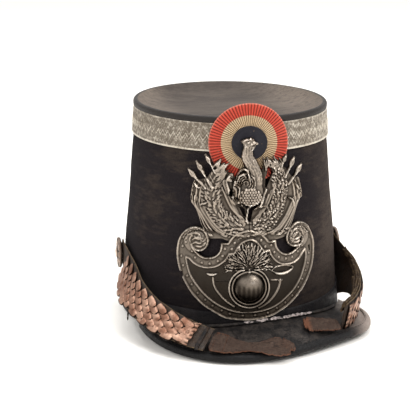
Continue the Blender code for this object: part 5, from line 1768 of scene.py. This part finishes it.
def make_stage(stage):
    """The pale floor, the soft lights and the camera."""
    size = 8.0
    points = [(-size, -size, 0.0), (size, -size, 0.0), (size, size, 0.0), (-size, size, 0.0)]
    mesh = bpy.data.meshes.new("studio_floor")
    mesh.from_pydata(points, [], [(0, 1, 2, 3)])
    mesh.materials.append(floor_finish(stage))
    floor = show("studio_floor", mesh)
    world = bpy.data.worlds.new("studio_air")
    world.use_nodes = True
    air = world.node_tree.nodes["Background"]
    air.inputs["Color"].default_value = (*stage.air_colour, 1.0)
    air.inputs["Strength"].default_value = stage.air_strength
    bpy.context.scene.world = world
    target = Vector((0.0, 0.0, 0.08))
    for name, place, width, power in (
            ("key_light", (0.75, -0.75, 1.25), 0.9, stage.key_power),
            ("fill_light", (-1.3, -1.0, 0.9), 1.2, stage.fill_power),
            ("top_light", (0.0, 0.5, 1.6), 1.4, stage.top_power)):
        data = bpy.data.lights.new(name, "AREA")
        data.shape = "DISK"
        data.size = width
        data.energy = power
        lamp = show(name, data)
        lamp.location = place
        lamp.rotation_euler = (target - Vector(place)).to_track_quat("-Z", "Y").to_euler()
    swing = math.radians(stage.camera_swing)
    pan, pitch = stage.camera_pan, stage.camera_pitch
    ahead = (math.sin(pan) * math.cos(pitch), math.cos(pan) * math.cos(pitch), -math.sin(pitch))
    turn = Matrix.Rotation(-swing, 3, "Z")
    data = bpy.data.cameras.new("studio_camera")
    data.sensor_width = 36.0
    data.lens = stage.camera_lens
    data.clip_end = 50.0
    camera = show("studio_camera", data)
    place = turn @ Vector((0.0, -stage.camera_distance, stage.camera_height))
    camera.location = place + Vector(HAT_CENTRE.tolist())
    camera.rotation_euler = (turn @ Vector(ahead)).to_track_quat("-Z", "Y").to_euler()
    bpy.context.scene.camera = camera
    bpy.context.scene.view_settings.view_transform = "Standard"


def plain_value(name, description, default, low=0.0, high=200.0, **more):
    return bpy.props.FloatProperty(name=name, description=description, default=default, min=low, max=high,
                                   **more)


def count_value(name, description, default, low, high):
    return bpy.props.IntProperty(name=name, description=description, default=default, min=low, max=high)


def length_value(name, description, default, low=0.0, high=0.1):
    return bpy.props.FloatProperty(name=name, description=description, default=default, min=low, max=high,
                                   unit="LENGTH", precision=5)


def colour_value(part, colour):
    return bpy.props.FloatVectorProperty(name=part.capitalize(), description="Colour of the " + part,
                                         default=colour, size=3, subtype="COLOR", min=0.0, max=1.0)


class FeltSettings(bpy.types.PropertyGroup):
    dent_depth: length_value("Dent depth", "Depth of the felt's shallow dents", 0.45 * MM)
    colour: colour_value("whole nap", srgb(36, 32, 34))
    # The rubbed colour also carries painted light on the right side.
    worn_colour: colour_value("rubbed nap", srgb(55, 48, 44))
    # Painted light on the felt's right side.
    painted_light_nap_colour: colour_value("painted light on the nap", srgb(78, 69, 63))
    # Also multiplied in as painted shade low on the felt.
    shade_colour: colour_value("nap's hollows", srgb(150, 142, 146))


class CrownSettings(bpy.types.PropertyGroup):
    dent_depth: length_value("Dent depth", "Depth of the dents in the sunken top", 0.7 * MM)
    colour: colour_value("crown's leather", srgb(58, 51, 47))
    worn_colour: colour_value("crown's worn leather", srgb(80, 72, 65))
    # The rim's own dark colour, also used as painted shade along the bowl's front.
    dark_colour: colour_value("crown's front and its rim", srgb(33, 29, 27))
    rubbed_colour: colour_value("crown's rubbed sides", srgb(112, 101, 91))


class LaceSettings(bpy.types.PropertyGroup):
    zigzags: count_value("Zigzags", "Number of zigzags round the hat", 94, 20, 140)
    colour: colour_value("raised thread", srgb(216, 207, 191))
    hollow_colour: colour_value("hollows between the threads", srgb(98, 87, 73))
    stain_colour: colour_value("stains", srgb(190, 178, 160))


class PlateSettings(bpy.types.PropertyGroup):
    detail: length_value("Detail", "Grid size of the stamped relief", 0.48 * MM, 0.3 * MM)
    relief_depth: plain_value("Relief depth", "Share of the drawn relief", 1.0, 0.2, 1.5)
    colour: colour_value("silvered metal", srgb(166, 154, 141))
    ridge_colour: colour_value("rubbed ridges", srgb(206, 196, 184))
    hollow_colour: colour_value("plate's hollows", srgb(58, 52, 46))
    field_colour: colour_value("plain field", srgb(60, 55, 50))
    tarnish_colour: colour_value("tarnish", srgb(175, 168, 158))
    # Painted shade low on the plate.
    shade_colour: colour_value("painted shade low down", srgb(120, 114, 108))


class CockadeSettings(bpy.types.PropertyGroup):
    pleats: count_value("Pleats", "Number of pleats", 76, 24, 120)
    outer_colour: colour_value("outer ring", srgb(184, 68, 50))
    middle_colour: colour_value("middle ring", srgb(190, 168, 136))
    inner_colour: colour_value("boss", srgb(20, 18, 27))
    # Used for specks of dirt and for painted shade in the pleats.
    dirt_and_shade_colour: colour_value("dirt and painted shade in the pleats", srgb(120, 98, 78))
    rubbed_colour: colour_value("rubbed crests", srgb(214, 150, 128))


class LeatherSettings(bpy.types.PropertyGroup):
    band_colour: colour_value("base band", srgb(17, 15, 17))
    band_worn_colour: colour_value("worn base band", srgb(34, 30, 31))
    peak_colour: colour_value("peak", srgb(22, 20, 20))
    worn_colour: colour_value("worn black leather", srgb(62, 56, 52))
    dark_colour: colour_value("cracks", srgb(16, 15, 16))
    # Painted highlight on the right end of the peak and its binding.
    painted_light_colour: colour_value("peak's dusty right side", srgb(138, 126, 118))
    strap_colour: colour_value("chin straps", srgb(58, 44, 34))
    strap_worn_colour: colour_value("straps' edges", srgb(100, 82, 59))
    tie_colour: colour_value("loose ends", srgb(60, 45, 37))
    tie_worn_colour: colour_value("worn loose ends", srgb(74, 59, 50))
    rust_colour: colour_value("raw leather", srgb(100, 64, 46))
    flakes: count_value("Flakes", "Number of varnish chips along the seam", 64, 1, 400)
    # Pale chips along the seam, partly painted glints.
    flake_colour: colour_value("lifted varnish with painted glints", srgb(190, 177, 173))
    thread_colour: colour_value("stitches", srgb(60, 54, 50))


class ScaleSettings(bpy.types.PropertyGroup):
    scale_length: length_value("Scale length", "Length of one copper scale", 11.5 * MM)
    scale_width: length_value("Scale width", "Width of one copper scale", 5.9 * MM)
    row_pitch: length_value("Row pitch", "Distance between rows of scales", 5.9 * MM)
    scale_lean: plain_value("Scale lean", "Degrees towards the lower edge", 14.0)
    colour: colour_value("copper", srgb(128, 90, 72))
    pale_colour: colour_value("rubbed copper", srgb(190, 154, 133))
    seam_colour: colour_value("seams between the scales", srgb(26, 17, 13))
    rosette_colour: colour_value("rosettes", srgb(142, 118, 102))
    rosette_pale_colour: colour_value("rubbed rosettes", srgb(204, 186, 172))


class StageSettings(bpy.types.PropertyGroup):
    floor_colour: colour_value("floor", (0.97, 0.945, 0.905))
    air_colour: colour_value("light from all round", (1.0, 0.99, 0.975))
    air_strength: plain_value("Air strength", "Light from all round", 0.85)
    key_power: plain_value("Key power", "Watts of the key light", 14.0)
    fill_power: plain_value("Fill power", "Watts of the fill light", 8.0)
    top_power: plain_value("Top power", "Watts of the top light", 22.0)
    camera_distance: length_value("Camera distance", "Level distance to the hat", 1.0, high=5.0)
    camera_height: length_value("Camera height", "Height above the floor", 0.33, high=5.0)
    camera_lens: plain_value("Lens", "Focal length in millimetres", 114.41)
    camera_swing: plain_value("Swing", "Degrees round the hat to its right hand", 12.0)
    camera_pan: plain_value("Pan", "Turn away from the hat", -0.019, -1.5, 1.5, subtype="ANGLE")
    camera_pitch: plain_value("Pitch", "Tilt down", 0.246, -1.5, 1.5, subtype="ANGLE")


SETTINGS = {
    "felt": FeltSettings, "crown": CrownSettings, "lace": LaceSettings, "plate": PlateSettings,
    "cockade": CockadeSettings, "leather": LeatherSettings, "scales": ScaleSettings, "stage": StageSettings,
}


class SHAKO_OT_stage(bpy.types.Operator):
    """Add the floor, lights and camera"""
    bl_idname = "shako.stage"
    bl_label = "Stage"

    def execute(self, context):
        make_stage(context.scene.shako_stage)
        return {"FINISHED"}


class SHAKO_OT_felt(bpy.types.Operator):
    """Build the felt body"""
    bl_idname = "shako.felt"
    bl_label = "Felt body"

    def execute(self, context):
        make_felt(context.scene.shako_felt)
        return {"FINISHED"}


class SHAKO_OT_crown(bpy.types.Operator):
    """Build the sunken crown and its rim"""
    bl_idname = "shako.crown"
    bl_label = "Crown"

    def execute(self, context):
        make_crown(context.scene.shako_crown)
        return {"FINISHED"}


class SHAKO_OT_lace(bpy.types.Operator):
    """Build the lace band"""
    bl_idname = "shako.lace"
    bl_label = "Lace band"

    def execute(self, context):
        make_lace(context.scene.shako_lace)
        return {"FINISHED"}


class SHAKO_OT_base_band(bpy.types.Operator):
    """Build the leather band round the base"""
    bl_idname = "shako.base_band"
    bl_label = "Base band"

    def execute(self, context):
        make_base_band(context.scene.shako_leather)
        return {"FINISHED"}


class SHAKO_OT_peak(bpy.types.Operator):
    """Build the peak, its binding, its seam and their stitches"""
    bl_idname = "shako.peak"
    bl_label = "Peak"

    def execute(self, context):
        leather = context.scene.shako_leather
        make_peak(leather)
        rows = make_binding(leather)
        make_welt(leather)
        scatter = Scatter()
        make_binding_stitches(leather, scatter, rows)
        make_flakes(leather, scatter)
        return {"FINISHED"}


class SHAKO_OT_plate(bpy.types.Operator):
    """Build the stamped plate"""
    bl_idname = "shako.plate"
    bl_label = "Plate"

    def execute(self, context):
        make_plate(context.scene.shako_plate)
        return {"FINISHED"}


class SHAKO_OT_cockade(bpy.types.Operator):
    """Build the pleated cockade"""
    bl_idname = "shako.cockade"
    bl_label = "Cockade"

    def execute(self, context):
        make_cockade(context.scene.shako_cockade, Scatter())
        return {"FINISHED"}


class SHAKO_OT_chin_straps(bpy.types.Operator):
    """Build the straps' leather, their loose ends and the thong"""
    bl_idname = "shako.chin_straps"
    bl_label = "Chin straps"

    def execute(self, context):
        leather = context.scene.shako_leather
        make_strap_leather(leather)
        make_ties(leather, Scatter())
        make_thong(leather)
        return {"FINISHED"}


class SHAKO_OT_scales(bpy.types.Operator):
    """Build the copper scales and the rosettes"""
    bl_idname = "shako.scales"
    bl_label = "Copper scales"

    def execute(self, context):
        scales = context.scene.shako_scales
        make_scales(scales, Scatter())
        make_bosses(scales)
        return {"FINISHED"}


OPERATORS = (SHAKO_OT_stage, SHAKO_OT_felt, SHAKO_OT_crown, SHAKO_OT_lace, SHAKO_OT_base_band, SHAKO_OT_peak,
             SHAKO_OT_plate, SHAKO_OT_cockade, SHAKO_OT_chin_straps, SHAKO_OT_scales)


class SHAKO_PT_panel(bpy.types.Panel):
    """The hat's pieces and their settings"""
    bl_idname = "SHAKO_PT_panel"
    bl_label = "Shako hat"
    bl_space_type = "VIEW_3D"
    bl_region_type = "UI"
    bl_category = "Shako"

    def draw(self, context):
        for operator in OPERATORS:
            self.layout.operator(operator.bl_idname)
        for label, kind in SETTINGS.items():
            box = self.layout.box()
            box.label(text=label.capitalize())
            for setting in kind.__annotations__:
                box.prop(getattr(context.scene, "shako_" + label), setting)


def register():
    for kind in list(SETTINGS.values()) + list(OPERATORS) + [SHAKO_PT_panel]:
        bpy.utils.register_class(kind)
    for label, kind in SETTINGS.items():
        setattr(bpy.types.Scene, "shako_" + label, bpy.props.PointerProperty(type=kind))


def unregister():
    for label in SETTINGS:
        delattr(bpy.types.Scene, "shako_" + label)
    for kind in [SHAKO_PT_panel] + list(OPERATORS) + list(SETTINGS.values()):
        bpy.utils.unregister_class(kind)


def main():
    register()
    for operator in OPERATORS:
        getattr(bpy.ops.shako, operator.bl_idname.split(".")[1])()


if __name__ == "__main__":
    main()
